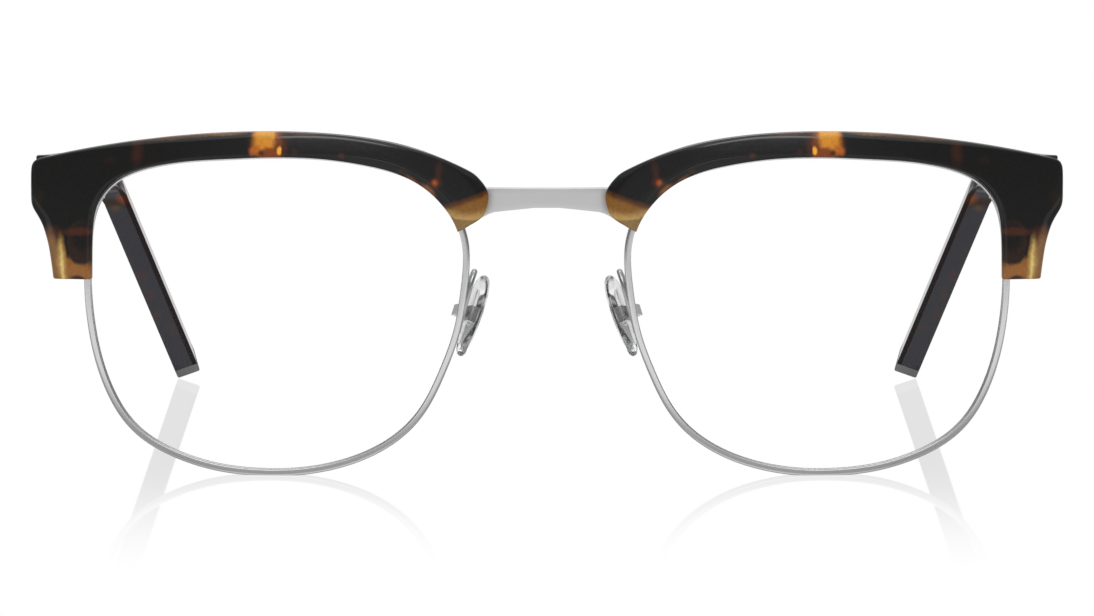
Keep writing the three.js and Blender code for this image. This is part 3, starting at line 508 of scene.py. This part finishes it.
def acetate(name, clouds, on_temple, body, mottle, mottle_strength, mottle_scale, seed,
            specular, ior):
    """Polished tortoise acetate: a dark body, dim mottles and the lighter clouds."""
    material, nodes = new_material(name)
    coordinates = nodes.add_node("TexCoord").outputs
    place = right_side_place(nodes, coordinates["Object"])

    # wavy edges
    waves = nodes.noise(place, scale=0.7, detail=3.0, roughness=0.55, output="Color")
    shift = nodes.scaled(nodes.vector("SUBTRACT", waves, (0.5, 0.5, 0.5)), 0.55)
    wavy = nodes.vector("ADD", place, shift)

    # broad mottles, then the clouds
    location = (seed, seed * 0.7, seed * 1.3)
    stretched = nodes.add("Mapping", {0: wavy, "Location": location, "Scale": mottle_scale})
    mottles = nodes.noise(stretched, scale=1.0, detail=2.5)
    mottle_mask = nodes.map_range(
        mottles, source=(0.56, 0.80), result=(0.0, mottle_strength), eased=True)
    color = nodes.mix(mottle_mask, body, mottle)
    for cloud in clouds:
        color = add_cloud(nodes, wavy, color, cloud, on_temple)

    # fine grain, faint polishing waves, and a weaker reflection on upward faces, painted shade
    # that keeps the tops dark
    grain = nodes.noise(place, scale=2.6, detail=4.0, roughness=0.65)
    color = nodes.scaled(color, nodes.map_range(grain, source=(0.3, 0.75), result=(0.82, 1.16)))
    polish = nodes.noise(place, scale=0.35, detail=1.5)
    normal = nodes.separate(nodes.add("NewGeometry", output="True Normal"))
    shine = nodes.map_range(normal["Z"], source=(0.72, 0.92), result=(specular, 0.06))
    inputs = {
        "IOR": ior,
        "Base Color": color,
        "Roughness": nodes.map_range(grain, result=(0.07, 0.15)),
        "Normal": nodes.bump(polish, strength=0.06, distance=0.00012),
        "Specular IOR Level": shine,
        # painted light: the acetate glows faintly in its own colour
        "Emission Color": color,
        "Emission Strength": 0.05,
    }
    if on_temple:
        # painted shade: the bevel along the inner lower edge gets a darker colour and a weaker
        # reflection; its normal has |x| near 0.62
        normal = nodes.separate(coordinates["Normal"])
        from_bevel = nodes.math("SUBTRACT", nodes.math("ABSOLUTE", normal["X"]), 0.62)
        from_bevel = nodes.math("ABSOLUTE", from_bevel)
        off_bevel = nodes.map_range(from_bevel, source=(0.12, 0.2), result=(0.22, 1.0))
        not_below = nodes.map_range(normal["Z"], source=(-0.2, -0.1))
        light = nodes.math("MAXIMUM", off_bevel, not_below)
        inputs["Specular IOR Level"] = nodes.math("MULTIPLY", shine, light)
        inputs["Base Color"] = nodes.mix(light, (0.018, 0.010, 0.008, 1), color)
    nodes.add_node("OutputMaterial", {0: nodes.add("BsdfPrincipled", inputs)})
    return material


BROW_ACETATE = acetate(
    "tortoise_acetate_brow", BROW_CLOUDS, on_temple=False,
    body=(0.0103, 0.0103, 0.0100, 1), mottle=(0.020, 0.0095, 0.006, 1), mottle_strength=0.5,
    mottle_scale=(0.16, 0.10, 0.28), seed=0.0, specular=0.5, ior=1.33)
TEMPLE_ACETATE = acetate(
    "tortoise_acetate_temple", TEMPLE_CLOUDS, on_temple=True,
    body=(0.0285, 0.0285, 0.0355, 1), mottle=(0.060, 0.030, 0.018, 1), mottle_strength=0.45,
    mottle_scale=(0.30, 0.07, 0.20), seed=7.3, specular=0.27, ior=1.4)


# ------------------------------------------------------------------ clear materials
def clear_lens():
    """Transparent, with a weak reflection on outward faces only."""
    material, nodes = new_material("clear_lens")
    smears = nodes.noise(nodes.add("TexCoord", output="Object"), scale=60.0, detail=1.0)
    glossy = nodes.add("BsdfGlossy", {
        0: (0.95, 0.97, 1.0, 1),
        "Roughness": nodes.map_range(smears, result=(0.01, 0.03)),
    })
    clear = nodes.add("BsdfTransparent", {0: (1, 1, 1, 1)})
    outward = nodes.math("SUBTRACT", 1.0, nodes.add("NewGeometry", output="Backfacing"))
    reflection = nodes.math("MULTIPLY", nodes.add("Fresnel", {"IOR": 1.10}), outward)
    nodes.add_node("OutputMaterial", {0: nodes.mix_shader(reflection, clear, glossy)})
    return material


def clear_silicone():
    """Glassy pad material that lets light through to its shadow."""
    material, nodes = new_material("clear_silicone")
    grain = nodes.noise(nodes.add("TexCoord", output="Object"), scale=700.0, detail=3.0)
    silicone = nodes.add("BsdfPrincipled", {
        "Base Color": (0.93, 0.935, 0.93, 1),
        "IOR": 1.41,
        "Transmission Weight": 1.0,
        "Roughness": nodes.map_range(grain, result=(0.05, 0.14)),
        "Normal": nodes.bump(grain, strength=0.08, distance=0.00003),
    })
    clear = nodes.add("BsdfTransparent", {0: (0.9, 0.92, 0.92, 1)})
    shadow = nodes.add("LightPath", output="Is Shadow Ray")
    nodes.add_node("OutputMaterial", {0: nodes.mix_shader(shadow, silicone, clear)})
    return material


LENS_CLEAR = clear_lens()
PAD_SILICONE = clear_silicone()

# ------------------------------------------------------------------ eyewire
EYEWIRE_SECTIONS = 240
EYEWIRE_INNER, EYEWIRE_OUTER = 0.12, 1.05       # distances out from the opening outline
EYEWIRE_HALF_DEPTH = 1.1
GROOVE_BOTTOM = 0.42 + 0.05
GROOVE_HALF_WIDTH = 0.62 * 0.8
SLIT_WIDTH = 0.5


def eyewire_geometry():
    """Wire round the opening, grooved inside and split; it is flattened at the floor."""
    profile = round_corners(
        [(EYEWIRE_INNER, -EYEWIRE_HALF_DEPTH), (EYEWIRE_OUTER, -EYEWIRE_HALF_DEPTH),
         (EYEWIRE_OUTER, EYEWIRE_HALF_DEPTH), (EYEWIRE_INNER, EYEWIRE_HALF_DEPTH),
         (EYEWIRE_INNER, GROOVE_HALF_WIDTH), (GROOVE_BOTTOM, 0),
         (EYEWIRE_INNER, -GROOVE_HALF_WIDTH)],
        radii=[0.16, 0.34, 0.30, 0.2, 0.05, 0.05, 0.05], steps=4, fills=[2, 3, 2, 0, 1, 1, 0])

    def wire_point(distance, outward, depth):
        point, normal = rim_at(distance)
        x, z = point + normal * outward
        z = max(z, 0.0)
        return x, face_y(x, z) + depth, z

    half_slit = SLIT_WIDTH / 2
    distances = np.linspace(half_slit, RIM_LENGTH - half_slit, EYEWIRE_SECTIONS)
    return loft([[wire_point(distance, *corner) for corner in profile]
                 for distance in distances])


build("eyewire", eyewire_geometry(), RIM_METAL, "front")

# ------------------------------------------------------------------ lens
LENS_POINTS = 200
LENS_FRONT, LENS_BACK = -0.95, 0.85             # depths at the middle
LENS_RINGS = (0.1, 0.2, 0.32, 0.45, 0.6, 0.75, 0.87, 0.93, 0.97)    # shares of the outline
# edge profile from front to back: distance out from the outline, depth
LENS_EDGE = [(-0.5, -0.74), (-0.16, -0.58), (0.12, -0.28), (0.33, 0.0), (0.12, 0.28),
             (-0.16, 0.58), (-0.5, 0.72)]


def lens_geometry():
    distances = np.linspace(0, RIM_LENGTH, LENS_POINTS, endpoint=False)

    def ring(share, depth, thinning):
        """Outline scaled about the middle; thinning moves it inwards near the edge."""
        depth += thinning * max(0, share - 0.45) / 0.5
        points = []
        for distance in distances:
            point, _ = rim_at(distance)
            x = -LENS_X + (point[0] + LENS_X) * share
            z = LENS_Z + (point[1] - LENS_Z) * share
            points.append((x, face_y(x, z) + depth, z))
        return points

    rings = [ring(share, LENS_FRONT, 0.1) for share in LENS_RINGS]
    rings += [[on_rim(distance, *edge) for distance in distances] for edge in LENS_EDGE]
    rings += [ring(share, LENS_BACK, -0.05) for share in reversed(LENS_RINGS)]
    verts, faces = loft(rings, caps=False)
    front = len(verts)
    back = front + 1
    last = front - LENS_POINTS
    for depth in (LENS_FRONT, LENS_BACK):
        verts.append((-LENS_X, face_y(-LENS_X, LENS_Z) + depth, LENS_Z))
    for j in range(LENS_POINTS):
        k = (j + 1) % LENS_POINTS
        faces.append((front, j, k))
        faces.append((back, last + k, last + j))
    return verts, faces


build("lens", lens_geometry(), LENS_CLEAR, "front", weighted=False)

# ------------------------------------------------------------------ brow pieces
# Stations from the lower temporal end, over the top, to the nasal tip. Columns: inner edge
# x, z; outer edge x, z; inner edge's shift out from the opening; inner bevel; outer bevel.
BROW = np.array([
    (-62.92, 27.17, -68.48, 27.13, -0.24, 0.5, 0.9),
    (-62.91, 28.49, -68.63, 28.45, -0.25, 0.5, 0.9),
    (-62.9, 30.15, -68.87, 30.11, -0.22, 0.5, 0.95),
    (-62.85, 31.82, -69.15, 31.77, -0.17, 0.5, 1.0),
    (-62.74, 33.48, -69.61, 33.42, -0.1, 0.55, 1.1),
    (-62.59, 34.86, -70.11, 34.79, 0, 0.6, 1.2),
    (-62.31, 36.11, -70.83, 36.02, 0.12, 0.65, 1.2),
    (-61.92, 37.15, -71.59, 37.19, 0.22, 0.65, 1.0),
    (-61.5, 37.99, -71.66, 38.64, 0.3, 0.6, 0.8),
    (-60.93, 38.85, -71.69, 40.3, 0.36, 0.55, 0.7),
    (-60.37, 39.55, -71.68, 41.95, 0.4, 0.5, 0.6),
    (-59.73, 40.15, -71.54, 43.13, 0.45, 0.5, 0.5),
    (-59.24, 40.5, -71.07, 43.54, 0.48, 0.45, 0.4),
    (-58.67, 40.81, -70.29, 43.77, 0.5, 0.4, 0.35),
    (-57.82, 41.2, -68.29, 44.21, 0.48, 0.35, 0.3),
    (-56.69, 41.66, -65.41, 44.81, 0.45, 0.35, 0.35),
    (-55.28, 42.08, -62.12, 45.42, 0.42, 0.35, 0.45),
    (-53.46, 42.56, -58.31, 46.04, 0.38, 0.35, 0.6),
    (-51.07, 42.95, -54.09, 46.61, 0.35, 0.35, 0.66),
    (-48.27, 43.29, -49.9, 47.05, 0.35, 0.35, 0.7),
    (-45.06, 43.52, -46.13, 47.34, 0.35, 0.35, 0.68),
    (-41.59, 43.71, -42.23, 47.52, 0.35, 0.35, 0.58),
    (-38.12, 43.8, -38.35, 47.59, 0.35, 0.35, 0.42),
    (-34.66, 43.76, -34.47, 47.54, 0.35, 0.4, 0.27),
    (-31.49, 43.61, -30.88, 47.37, 0.33, 0.55, 0.18),
    (-28.73, 43.39, -27.71, 47.1, 0.3, 0.75, 0.15),
    (-26.25, 42.95, -24.82, 46.73, 0.3, 0.95, 0.2),
    (-23.91, 42.49, -22.08, 46.25, 0.3, 1.1, 0.24),
    (-21.71, 41.96, -19.48, 45.64, 0.28, 1.15, 0.2),
    (-19.78, 41.43, -17.03, 44.92, 0.22, 1.1, 0.2),
    (-18.13, 40.67, -14.83, 44.14, 0.15, 1.0, 0.25),
    (-16.75, 39.7, -12.9, 43.31, 0.1, 1.0, 0.35),
    (-15.58, 38.67, -11.24, 42.5, 0.05, 1.05, 0.7),
    (-14.62, 37.7, -9.95, 41.79, 0, 1.1, 0.95),
    (-13.86, 36.74, -9.03, 40.81, 0, 1.1, 1.05),
    (-13.31, 35.77, -8.31, 39.84, 0, 1.1, 1.0),
    (-12.97, 35.08, -7.97, 39.08, 0, 1.1, 0.95),
    (-12.69, 34.53, -8.0, 38.26, 0, 1.1, 0.9),
    (-12.49, 34.08, -8.37, 36.69, 0, 1.0, 0.7),
    (-12.14, 33.87, -9.1, 35.67, 0, 0.8, 0.5),
])
BROW_SECTIONS = 260
BROW_FRONT = -2.6                       # depth of the front face
BROW_STEP = -1.25                       # depth of the lip in front of the eyewire
BROW_RABBET = 1.2                       # width kept clear for the eyewire
CORNER_BACK = 8.2                       # Y of the back of the thick outer corner
# back face by station: share taken by the corner, and offset from what the shares give
CORNER_SHARE = ([6, 7, 14, 18], [0, 1, 1, 0])
BACK_OFFSET = ([5, 6, 7, 14, 18, 28, 29, 30], [-1.12, 0.1, 0, 0, 1.2, 1.2, 0.2, -0.85])


def brow_section(inner, outer, shift, inner_bevel, outer_bevel, corner, offset):
    def back_y(point):
        return corner * CORNER_BACK + (1 - corner) * face_y(*point) + offset

    rim_point, normal = nearest_rim(*inner)
    start = rim_point + normal * shift
    width = np.linalg.norm(outer - start)
    across = (outer - start) / width
    rabbet = rim_point + normal * BROW_RABBET
    rabbet_width = float((rabbet - start) @ across)
    inner_back = back_y(rabbet) - face_y(*(start + across * rabbet_width))
    outer_back = back_y(outer) - face_y(*outer)
    profile = round_corners(
        [(0, BROW_STEP),
         (0, BROW_FRONT + 0.35 + min(0.35, inner_bevel * 0.2)),
         (inner_bevel, BROW_FRONT),
         (width - outer_bevel, BROW_FRONT),
         (width, BROW_FRONT + 0.25 + outer_bevel * 0.3),
         (width, outer_back),
         (rabbet_width, inner_back),
         (rabbet_width, BROW_STEP)],
        radii=[0.08, 0.14, 0.7, 0.95, 0.30, 0.30, 0.15, 0.05],
        steps=6, fills=[0, 2, 6, 5, 3, 4, 1, 1])
    section = []
    for distance, depth in profile:
        x, z = start + across * distance
        section.append((x, face_y(x, z) + depth, z))
    return section


def brow_geometry():
    # sections are spaced mostly by the outer edge
    inner_steps, outer_steps = (
        np.linalg.norm(np.diff(edge, axis=0), axis=1) for edge in (BROW[:, :2], BROW[:, 2:4]))
    travelled = np.r_[0, np.cumsum(outer_steps + 0.6 * inner_steps)]
    even = np.linspace(0, travelled[-1], BROW_SECTIONS)
    stations = np.interp(even, travelled, np.arange(len(BROW)))
    rows = akima(BROW, stations)
    rows[4:-4, 2:4] = smooth(rows[:, 2:4], 9)[4:-4]
    rows[:, 5:] = smooth(rows[:, 5:], 11)
    corners = np.interp(stations, *CORNER_SHARE)
    offsets = np.interp(stations, *BACK_OFFSET)
    sections = [brow_section(row[:2], row[2:4], *row[4:], corner, offset)
                for row, corner, offset in zip(rows, corners, offsets)]
    sections = round_start(sections, radius=0.22, steps=3)
    sections = round_start(sections[::-1], radius=0.5, steps=5)[::-1]
    return loft(sections)


build("brow", brow_geometry(), BROW_ACETATE, "front")

# ------------------------------------------------------------------ bridge
BRIDGE_TOP = 39.85
BRIDGE_THICKNESS = 1.5
BRIDGE_BEND_X = 8.6                     # the front stops curving back here
BRIDGE_UNDERSIDE = np.array([           # x, z
    (0, 37.12), (1.7, 37.12), (3.9, 36.88), (5.6, 36.70), (7.2, 36.50), (8.0, 36.24),
    (8.8, 35.8)])
BRIDGE_END_OFFSET = 1.2                 # ends lie this far out from the opening
BRIDGE_END_REACH = 3.8                  # run used for the depth of the end parts


def bridge_geometry():
    def section(x, top, bottom):
        """Section at x; top and bottom are its (x, z) ends."""
        front = (0.75 + 0.9 * min(1, (x / BRIDGE_BEND_X) ** 2)
                 - 0.07 * max(0, x - BRIDGE_BEND_X))
        profile = round_corners(
            [(bottom[1], 0), (top[1], 0), (top[1], BRIDGE_THICKNESS),
             (bottom[1], BRIDGE_THICKNESS)],
            radii=[0.22, 0.22, 0.25, 0.25], steps=4, fills=[3, 1, 3, 1])
        points = []
        for z, depth in profile:
            t = (z - bottom[1]) / (top[1] - bottom[1])
            points.append((bottom[0] + (top[0] - bottom[0]) * t, front + depth, z))
        return points

    def rim_end(x, z):
        point, normal = nearest_rim(x, z)
        return (point + normal * BRIDGE_END_OFFSET) * [-1, 1]

    half = []
    arch_x = BRIDGE_UNDERSIDE[-1, 0]
    for x in np.linspace(0, arch_x, 40):
        half.append(section(x, (x, BRIDGE_TOP), (x, np.interp(x, *BRIDGE_UNDERSIDE.T))))
    top = np.array([arch_x, BRIDGE_TOP])
    bottom = BRIDGE_UNDERSIDE[-1]
    top_end, bottom_end = rim_end(-15.6, 38.8), rim_end(-13.7, 36.4)
    for t in np.linspace(0.1, 1, 10):
        half.append(section(arch_x + BRIDGE_END_REACH * t,
                            top + (top_end - top) * t, bottom + (bottom_end - bottom) * t))
    mirrored = [[(-x, y, z) for x, y, z in points] for points in reversed(half[1:])]
    return loft(mirrored + half)


build("bridge", bridge_geometry(), BRIDGE_METAL, "front", prefixes=("",))

# ------------------------------------------------------------------ temples
TEMPLE_X = 69.4
TEMPLE_START = np.array([-TEMPLE_X, 8.5, 40.6])
BEND_START = np.array([-TEMPLE_X - 2.2, 94.0, 37.35])
BEND_CORNER = np.array([-TEMPLE_X - 2.38, 99.5, 37.2])
BEND_END = np.array([-70.67, 102.6, 33.5])
TEMPLE_TIP = np.array([-61.29, 128.68, 2.26])
TEMPLE_SIZE = np.array([3.8, 6.8])      # width and height at the hinge end
TEMPLE_TIP_SIZE = np.array([3.95, 5.6])
TEMPLE_ROLL = math.radians(14.6)        # turn of the section behind the bend
TEMPLE_CHAMFER = 0.12                   # inner lower edge before the bend
TEMPLE_BEVEL = np.array([0.79, 0.35])   # inner lower edge behind it: width, height
CAP_LENGTH = 1.6
# end cap sections: distance from just above the acetate's end, inset all round
CAP_STATIONS = [
    (-0.2, 0.0), (-0.15, 0.0), (0.2, 0.0), (0.5, 0.0), (0.9, 0.0), (1.38, 0.01), (1.50, 0.04),
    (1.60, 0.09), (1.68, 0.16), (1.75, 0.25), (1.79, 0.36), (CAP_LENGTH + 0.24, 0.5)]


def temple_line():
    """Centre line as (point, direction, share of the roll)."""
    shaft = BEND_START - TEMPLE_START
    line = [(TEMPLE_START + shaft * t, shaft, 0.0) for t in np.linspace(0, 1, 60)]
    for t in np.linspace(0, 1, 34)[1:]:
        point = (1 - t) ** 2 * BEND_START + 2 * t * (1 - t) * BEND_CORNER + t * t * BEND_END
        direction = (2 * (1 - t) * (BEND_CORNER - BEND_START)
                     + 2 * t * (BEND_END - BEND_CORNER))
        line.append((point, direction, t))
    tail = TEMPLE_TIP - BEND_END
    length = np.linalg.norm(tail)
    shares = np.linspace(0, 1 - (CAP_LENGTH + 0.2) / length, 30)
    for t in [*shares[1:-1], 1 - (CAP_LENGTH + 0.25) / length, shares[-1]]:
        line.append((BEND_END + tail * t, tail, 1.0))
    return line


def temple_section(point, direction, half_size, roll, bevel, lower_radius, upper_radius):
    """Section across the direction; roll and bevel are shares from 0 to 1."""
    forward = unit(direction)
    level_side = unit(np.array([1.0, 0, 0]) - forward * forward[0])
    level_up = np.cross(level_side, forward)
    cosine, sine = math.cos(TEMPLE_ROLL * roll), math.sin(TEMPLE_ROLL * roll)
    side = level_side * cosine + level_up * sine
    up = level_up * cosine - level_side * sine
    half_width, half_height = half_size
    cut_width, cut_height = TEMPLE_CHAMFER + (TEMPLE_BEVEL - TEMPLE_CHAMFER) * bevel
    profile = round_corners(
        [(-half_width, -half_height), (half_width - cut_width, -half_height),
         (half_width, -half_height + cut_height), (half_width, half_height),
         (-half_width, half_height)],
        radii=[lower_radius, 0.05 + 0.06 * bevel, 0.1, upper_radius, upper_radius],
        steps=6, fills=[4, 3, 12, 3, 12])
    return [point + side * across + up * height for across, height in profile]


def temple_geometry():
    line = temple_line()
    points = np.array([point for point, _, _ in line])
    steps = np.linalg.norm(np.diff(points, axis=0), axis=1)
    travelled = np.r_[0, np.cumsum(steps)]
    sections = []
    for (point, direction, roll), distance in zip(line, travelled):
        share = distance / travelled[-1]
        half_size = (TEMPLE_SIZE + (TEMPLE_TIP_SIZE - TEMPLE_SIZE) * share) / 2
        sections.append(temple_section(
            point, direction, half_size, roll, bevel=roll,
            lower_radius=0.3 - 0.14 * roll,
            upper_radius=0.35 + 0.15 * min(1.0, distance / 6.0)))
    return loft(round_start(sections, radius=0.25, steps=4))


def cap_geometry():
    direction = unit(TEMPLE_TIP - BEND_END)
    return loft([
        temple_section(TEMPLE_TIP - direction * (CAP_LENGTH - 0.04 - distance), direction,
                       TEMPLE_TIP_SIZE / 2 - inset, roll=1.0, bevel=0.0,
                       lower_radius=0.2, upper_radius=0.4)
        for distance, inset in CAP_STATIONS])


build("temple", temple_geometry(), TEMPLE_ACETATE, "temple_arm")
build("temple_end_cap", cap_geometry(), CAP_METAL, "temple_arm")

# ------------------------------------------------------------------ nose pads
PAD_CENTRE = np.array([-10.4, 7.4, 21.6])
PAD_TURN, PAD_SPLAY, PAD_LEAN = (math.radians(angle) for angle in (18.0, 17.5, 14.0))
PAD_HALF_WIDTH, PAD_HALF_HEIGHT = 2.9, 5.95
PAD_POINTS = 64
# share of the outline, offset along the pad's normal
PAD_PROFILE = [
    (0.35, -0.85), (0.6, -0.84), (0.78, -0.79), (0.9, -0.67), (0.965, -0.46), (0.995, -0.2),
    (1.0, 0.05), (0.985, 0.28), (0.95, 0.46), (0.88, 0.61), (0.78, 0.71), (0.6, 0.75),
    (0.35, 0.76)]

PAD_UP = unit(np.array([math.sin(PAD_SPLAY), math.sin(PAD_LEAN), math.cos(PAD_SPLAY)]))
PAD_NORMAL = np.array([math.cos(PAD_TURN), math.sin(PAD_TURN), 0.0])
PAD_NORMAL = unit(PAD_NORMAL - PAD_UP * (PAD_NORMAL @ PAD_UP))
PAD_SIDE = unit(np.cross(PAD_UP, PAD_NORMAL))


def pad_at(side, up, out):
    return PAD_CENTRE + PAD_SIDE * side + PAD_UP * up + PAD_NORMAL * out


def pad_geometry():
    """Egg-shaped cushion, wider at the top."""
    loops = []
    for share, out in PAD_PROFILE:
        loop = []
        for i in range(PAD_POINTS):
            angle = i / PAD_POINTS * 2 * math.pi
            cosine, sine = math.cos(angle), math.sin(angle)
            side = PAD_HALF_WIDTH * cosine * (1 + 0.28 * sine) * share
            loop.append(pad_at(side, PAD_HALF_HEIGHT * sine * share, out))
        loops.append(loop)
    return loft(loops)


PAD_ARM_RADIUS = 0.42
PAD_ARM_OUT = -2.0                      # the arm ends here, along the pad's normal
PAD_ARM_PATH = [
    (-12.35, 2.3, 19.9), (-11.8, 2.34, 22.0), (-11.12, 2.6, 24.4), (-10.5, 3.1, 26.7),
    (-10.08, 4.2, 28.0), (-10.4, 5.4, 27.3), (-11.25, 6.3, 25.5),
    pad_at(0, 2.0, PAD_ARM_OUT), pad_at(0, 0.82, PAD_ARM_OUT)]

build("nose_pad", pad_geometry(), PAD_SILICONE, "pad", weighted=False)
build("pad_arm", round_wire(catmull_rom(PAD_ARM_PATH, steps=10), PAD_ARM_RADIUS, points=18),
      METAL, "front", weighted=False)


# ------------------------------------------------------------------ floor
def pale_floor():
    """White floor with a faint mirror sheen; reflections see it with painted shadow and shade."""
    material, nodes = new_material("pale_floor")
    position = nodes.separate(nodes.add("NewGeometry", output="Position"))
    reflected = nodes.add("LightPath", output="Is Glossy Ray")

    # painted shadow close to the front, seen only by reflections
    from_front = nodes.math("ABSOLUTE", nodes.math("ADD", position["Y"], 0.062))
    near = nodes.map_range(from_front, source=(0.012, 0.055), result=(0.62, 0.05), eased=True)
    near = nodes.math("MULTIPLY", near, reflected)
    # painted shade further out, in the middle, seen only by reflections
    from_middle = nodes.math("ABSOLUTE", position["X"])
    middle = nodes.map_range(from_middle, source=(0.08, 0.20), result=(0.72, 0.0))
    far = nodes.map_range(position["Y"], source=(-0.40, -0.31), result=(1.0, 0.0))
    far = nodes.math("MULTIPLY", nodes.math("MULTIPLY", middle, far), reflected)
    brightness = nodes.math("SUBTRACT", 1.0, nodes.math("ADD", near, far))

    # the sheen fades towards the viewer and beyond the temple ends
    sheen = nodes.map_range(
        position["Y"], source=(-0.155, -0.050), result=(0.0, 0.24), eased=True)
    fade = nodes.map_range(position["Y"], source=(0.070, 0.100), result=(1.0, 0.0), eased=True)
    sheen = nodes.math("MULTIPLY", sheen, fade)
    glow = nodes.add("Emission", {0: (1, 1, 1, 1), 1: brightness})
    mirror = nodes.add("BsdfGlossy", {0: (1, 1, 1, 1), "Roughness": 0.03})
    nodes.add_node("OutputMaterial", {0: nodes.mix_shader(sheen, glow, mirror)})
    return material


def add_floor(half_size, height):
    mesh = bpy.data.meshes.new("floor")
    corners = [(x * half_size, y * half_size, 0) for x, y in ((-1, -1), (1, -1), (1, 1), (-1, 1))]
    mesh.from_pydata(corners, [], [(0, 1, 2, 3)])
    floor = bpy.data.objects.new("floor", mesh)
    bpy.context.scene.collection.objects.link(floor)
    mesh.materials.append(pale_floor())
    floor.location.z = height


add_floor(half_size=6.0, height=-0.00002)

# ------------------------------------------------------------------ world
# brightness of the surroundings: upward direction component, value
FRONT_SKY = [(-1, 0.9), (0.10, 0.80), (0.17, 0.48), (0.30, 0.38), (0.56, 0.42), (0.70, 2.4),
             (1, 1.9)]
BACK_SKY = [(-0.02, 0.22), (0.062, 0.25), (0.085, 1.0), (0.4, 1.0), (0.8, 1.4), (1, 1.9)]


def sky_ramp(nodes, height, stops):
    low, high = stops[0][0], stops[-1][0]
    share = nodes.map_range(height, source=(low, high))
    ramp = nodes.add_node("ValToRGB", {0: share})
    elements = ramp.color_ramp.elements
    while len(elements) < len(stops):
        elements.new(0.5)
    for i, (position, value) in enumerate(stops):
        elements[i].position = (position - low) / (high - low)
        elements[i].color = (value, value, value * 1.01, 1)
    return ramp.outputs[0]


def studio_world():
    """The camera sees white; everything else is lit by a graded sky, dimmer at the sides."""
    world = bpy.data.worlds.new("studio")
    bpy.context.scene.world = world
    world.use_nodes = True
    nodes = Nodes(world.node_tree)
    direction = nodes.separate(nodes.add("TexCoord", output="Generated"))
    front = sky_ramp(nodes, direction["Z"], FRONT_SKY)
    back = sky_ramp(nodes, direction["Z"], BACK_SKY)
    behind = nodes.map_range(direction["Y"], source=(-0.15, 0.25))
    sideways = nodes.math("ABSOLUTE", direction["X"])
    side_shade = nodes.map_range(sideways, source=(0.22, 0.46), result=(1.0, 0.32))
    sky = nodes.scaled(nodes.mix(behind, front, back), side_shade)
    lighting = nodes.add("Background", {0: sky, 1: 1.0})
    backdrop = nodes.add("Background", {0: (1, 1, 1, 1), 1: 1.0})
    seen = nodes.add("LightPath", output="Is Camera Ray")
    nodes.add_node("OutputWorld", {0: nodes.mix_shader(seen, lighting, backdrop)})


studio_world()


# ------------------------------------------------------------------ lights
def add_area(name, location, target, size, power):
    light = bpy.data.lights.new(name, "AREA")
    light.shape = "RECTANGLE"
    light.size, light.size_y = size
    light.energy = power
    lamp = bpy.data.objects.new(name, light)
    bpy.context.scene.collection.objects.link(lamp)
    lamp.location = location
    lamp.rotation_mode = "QUATERNION"
    aim = Vector(target) - Vector(location)
    lamp.rotation_quaternion = aim.to_track_quat("-Z", "Y")
    lamp.visible_camera = False
    return lamp


key = add_area("key_top", location=(0.0, -0.15, 0.75), target=(0, -0.03, 0.03),
               size=(0.9, 0.35), power=4.0)
key.visible_glossy = False
# two highlights on each brow piece, which light nothing else
for side, prefix in ((-1, RIGHT), (1, LEFT)):
    lit = bpy.data.collections.new(prefix + "acetate")
    lit.objects.link(bpy.data.objects[prefix + "brow_shaped"])
    strips = [
        add_area(prefix + "ridge_strip", location=(side * 0.055, -0.52, 0.255),
                 target=(side * 0.03, -0.065, 0.045), size=(0.15, 0.11), power=0.42),
        add_area(prefix + "low_strip", location=(side * 0.024, -0.235, 0.012),
                 target=(side * 0.028, -0.065, 0.042), size=(0.03, 0.02), power=0.0022),
    ]
    for strip in strips:
        strip.light_linking.receiver_collection = lit

# ------------------------------------------------------------------ camera
CAMERA_Y = -560.0                       # mm from the front plane
CAMERA_HEIGHT = 0.073893
CAMERA_TILT = 5.15736                   # degrees below level


def add_camera():
    camera = bpy.data.cameras.new("camera")
    camera.sensor_fit = "HORIZONTAL"
    camera.sensor_width = 36.0
    camera.lens = 134.167
    camera.clip_start, camera.clip_end = 0.01, 50
    holder = bpy.data.objects.new("camera", camera)
    bpy.context.scene.collection.objects.link(holder)
    holder.location = (0, (CAMERA_Y - ORIGIN_Y) * MM, CAMERA_HEIGHT)
    holder.rotation_euler = (math.radians(90 - CAMERA_TILT), 0, 0)
    bpy.context.scene.camera = holder


add_camera()
bpy.context.scene.view_settings.view_transform = "Standard"
bpy.context.scene.view_settings.look = "None"

# ------------------------------------------------------------------ loaded pieces
for name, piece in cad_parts.items():
    kind = name.split("_", 1)[1] if name.startswith((RIGHT, LEFT)) else name
    is_pad_box = kind == "pad_box"
    if "screw" in kind or "rivet" in kind:
        material = SCREW_STEEL
    else:
        material = PAD_BOX_METAL if is_pad_box else METAL
    piece.data.materials.clear()
    piece.data.materials.append(material)
    if piece.get("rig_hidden") or kind in rebuilt:
        continue
    edge = piece.modifiers.new("edge", "BEVEL")
    edge.width = 0.00018 if is_pad_box else 0.00008
    edge.segments = 3 if is_pad_box else 2
    edge.limit_method = "ANGLE"
    edge.angle_limit = math.radians(35)
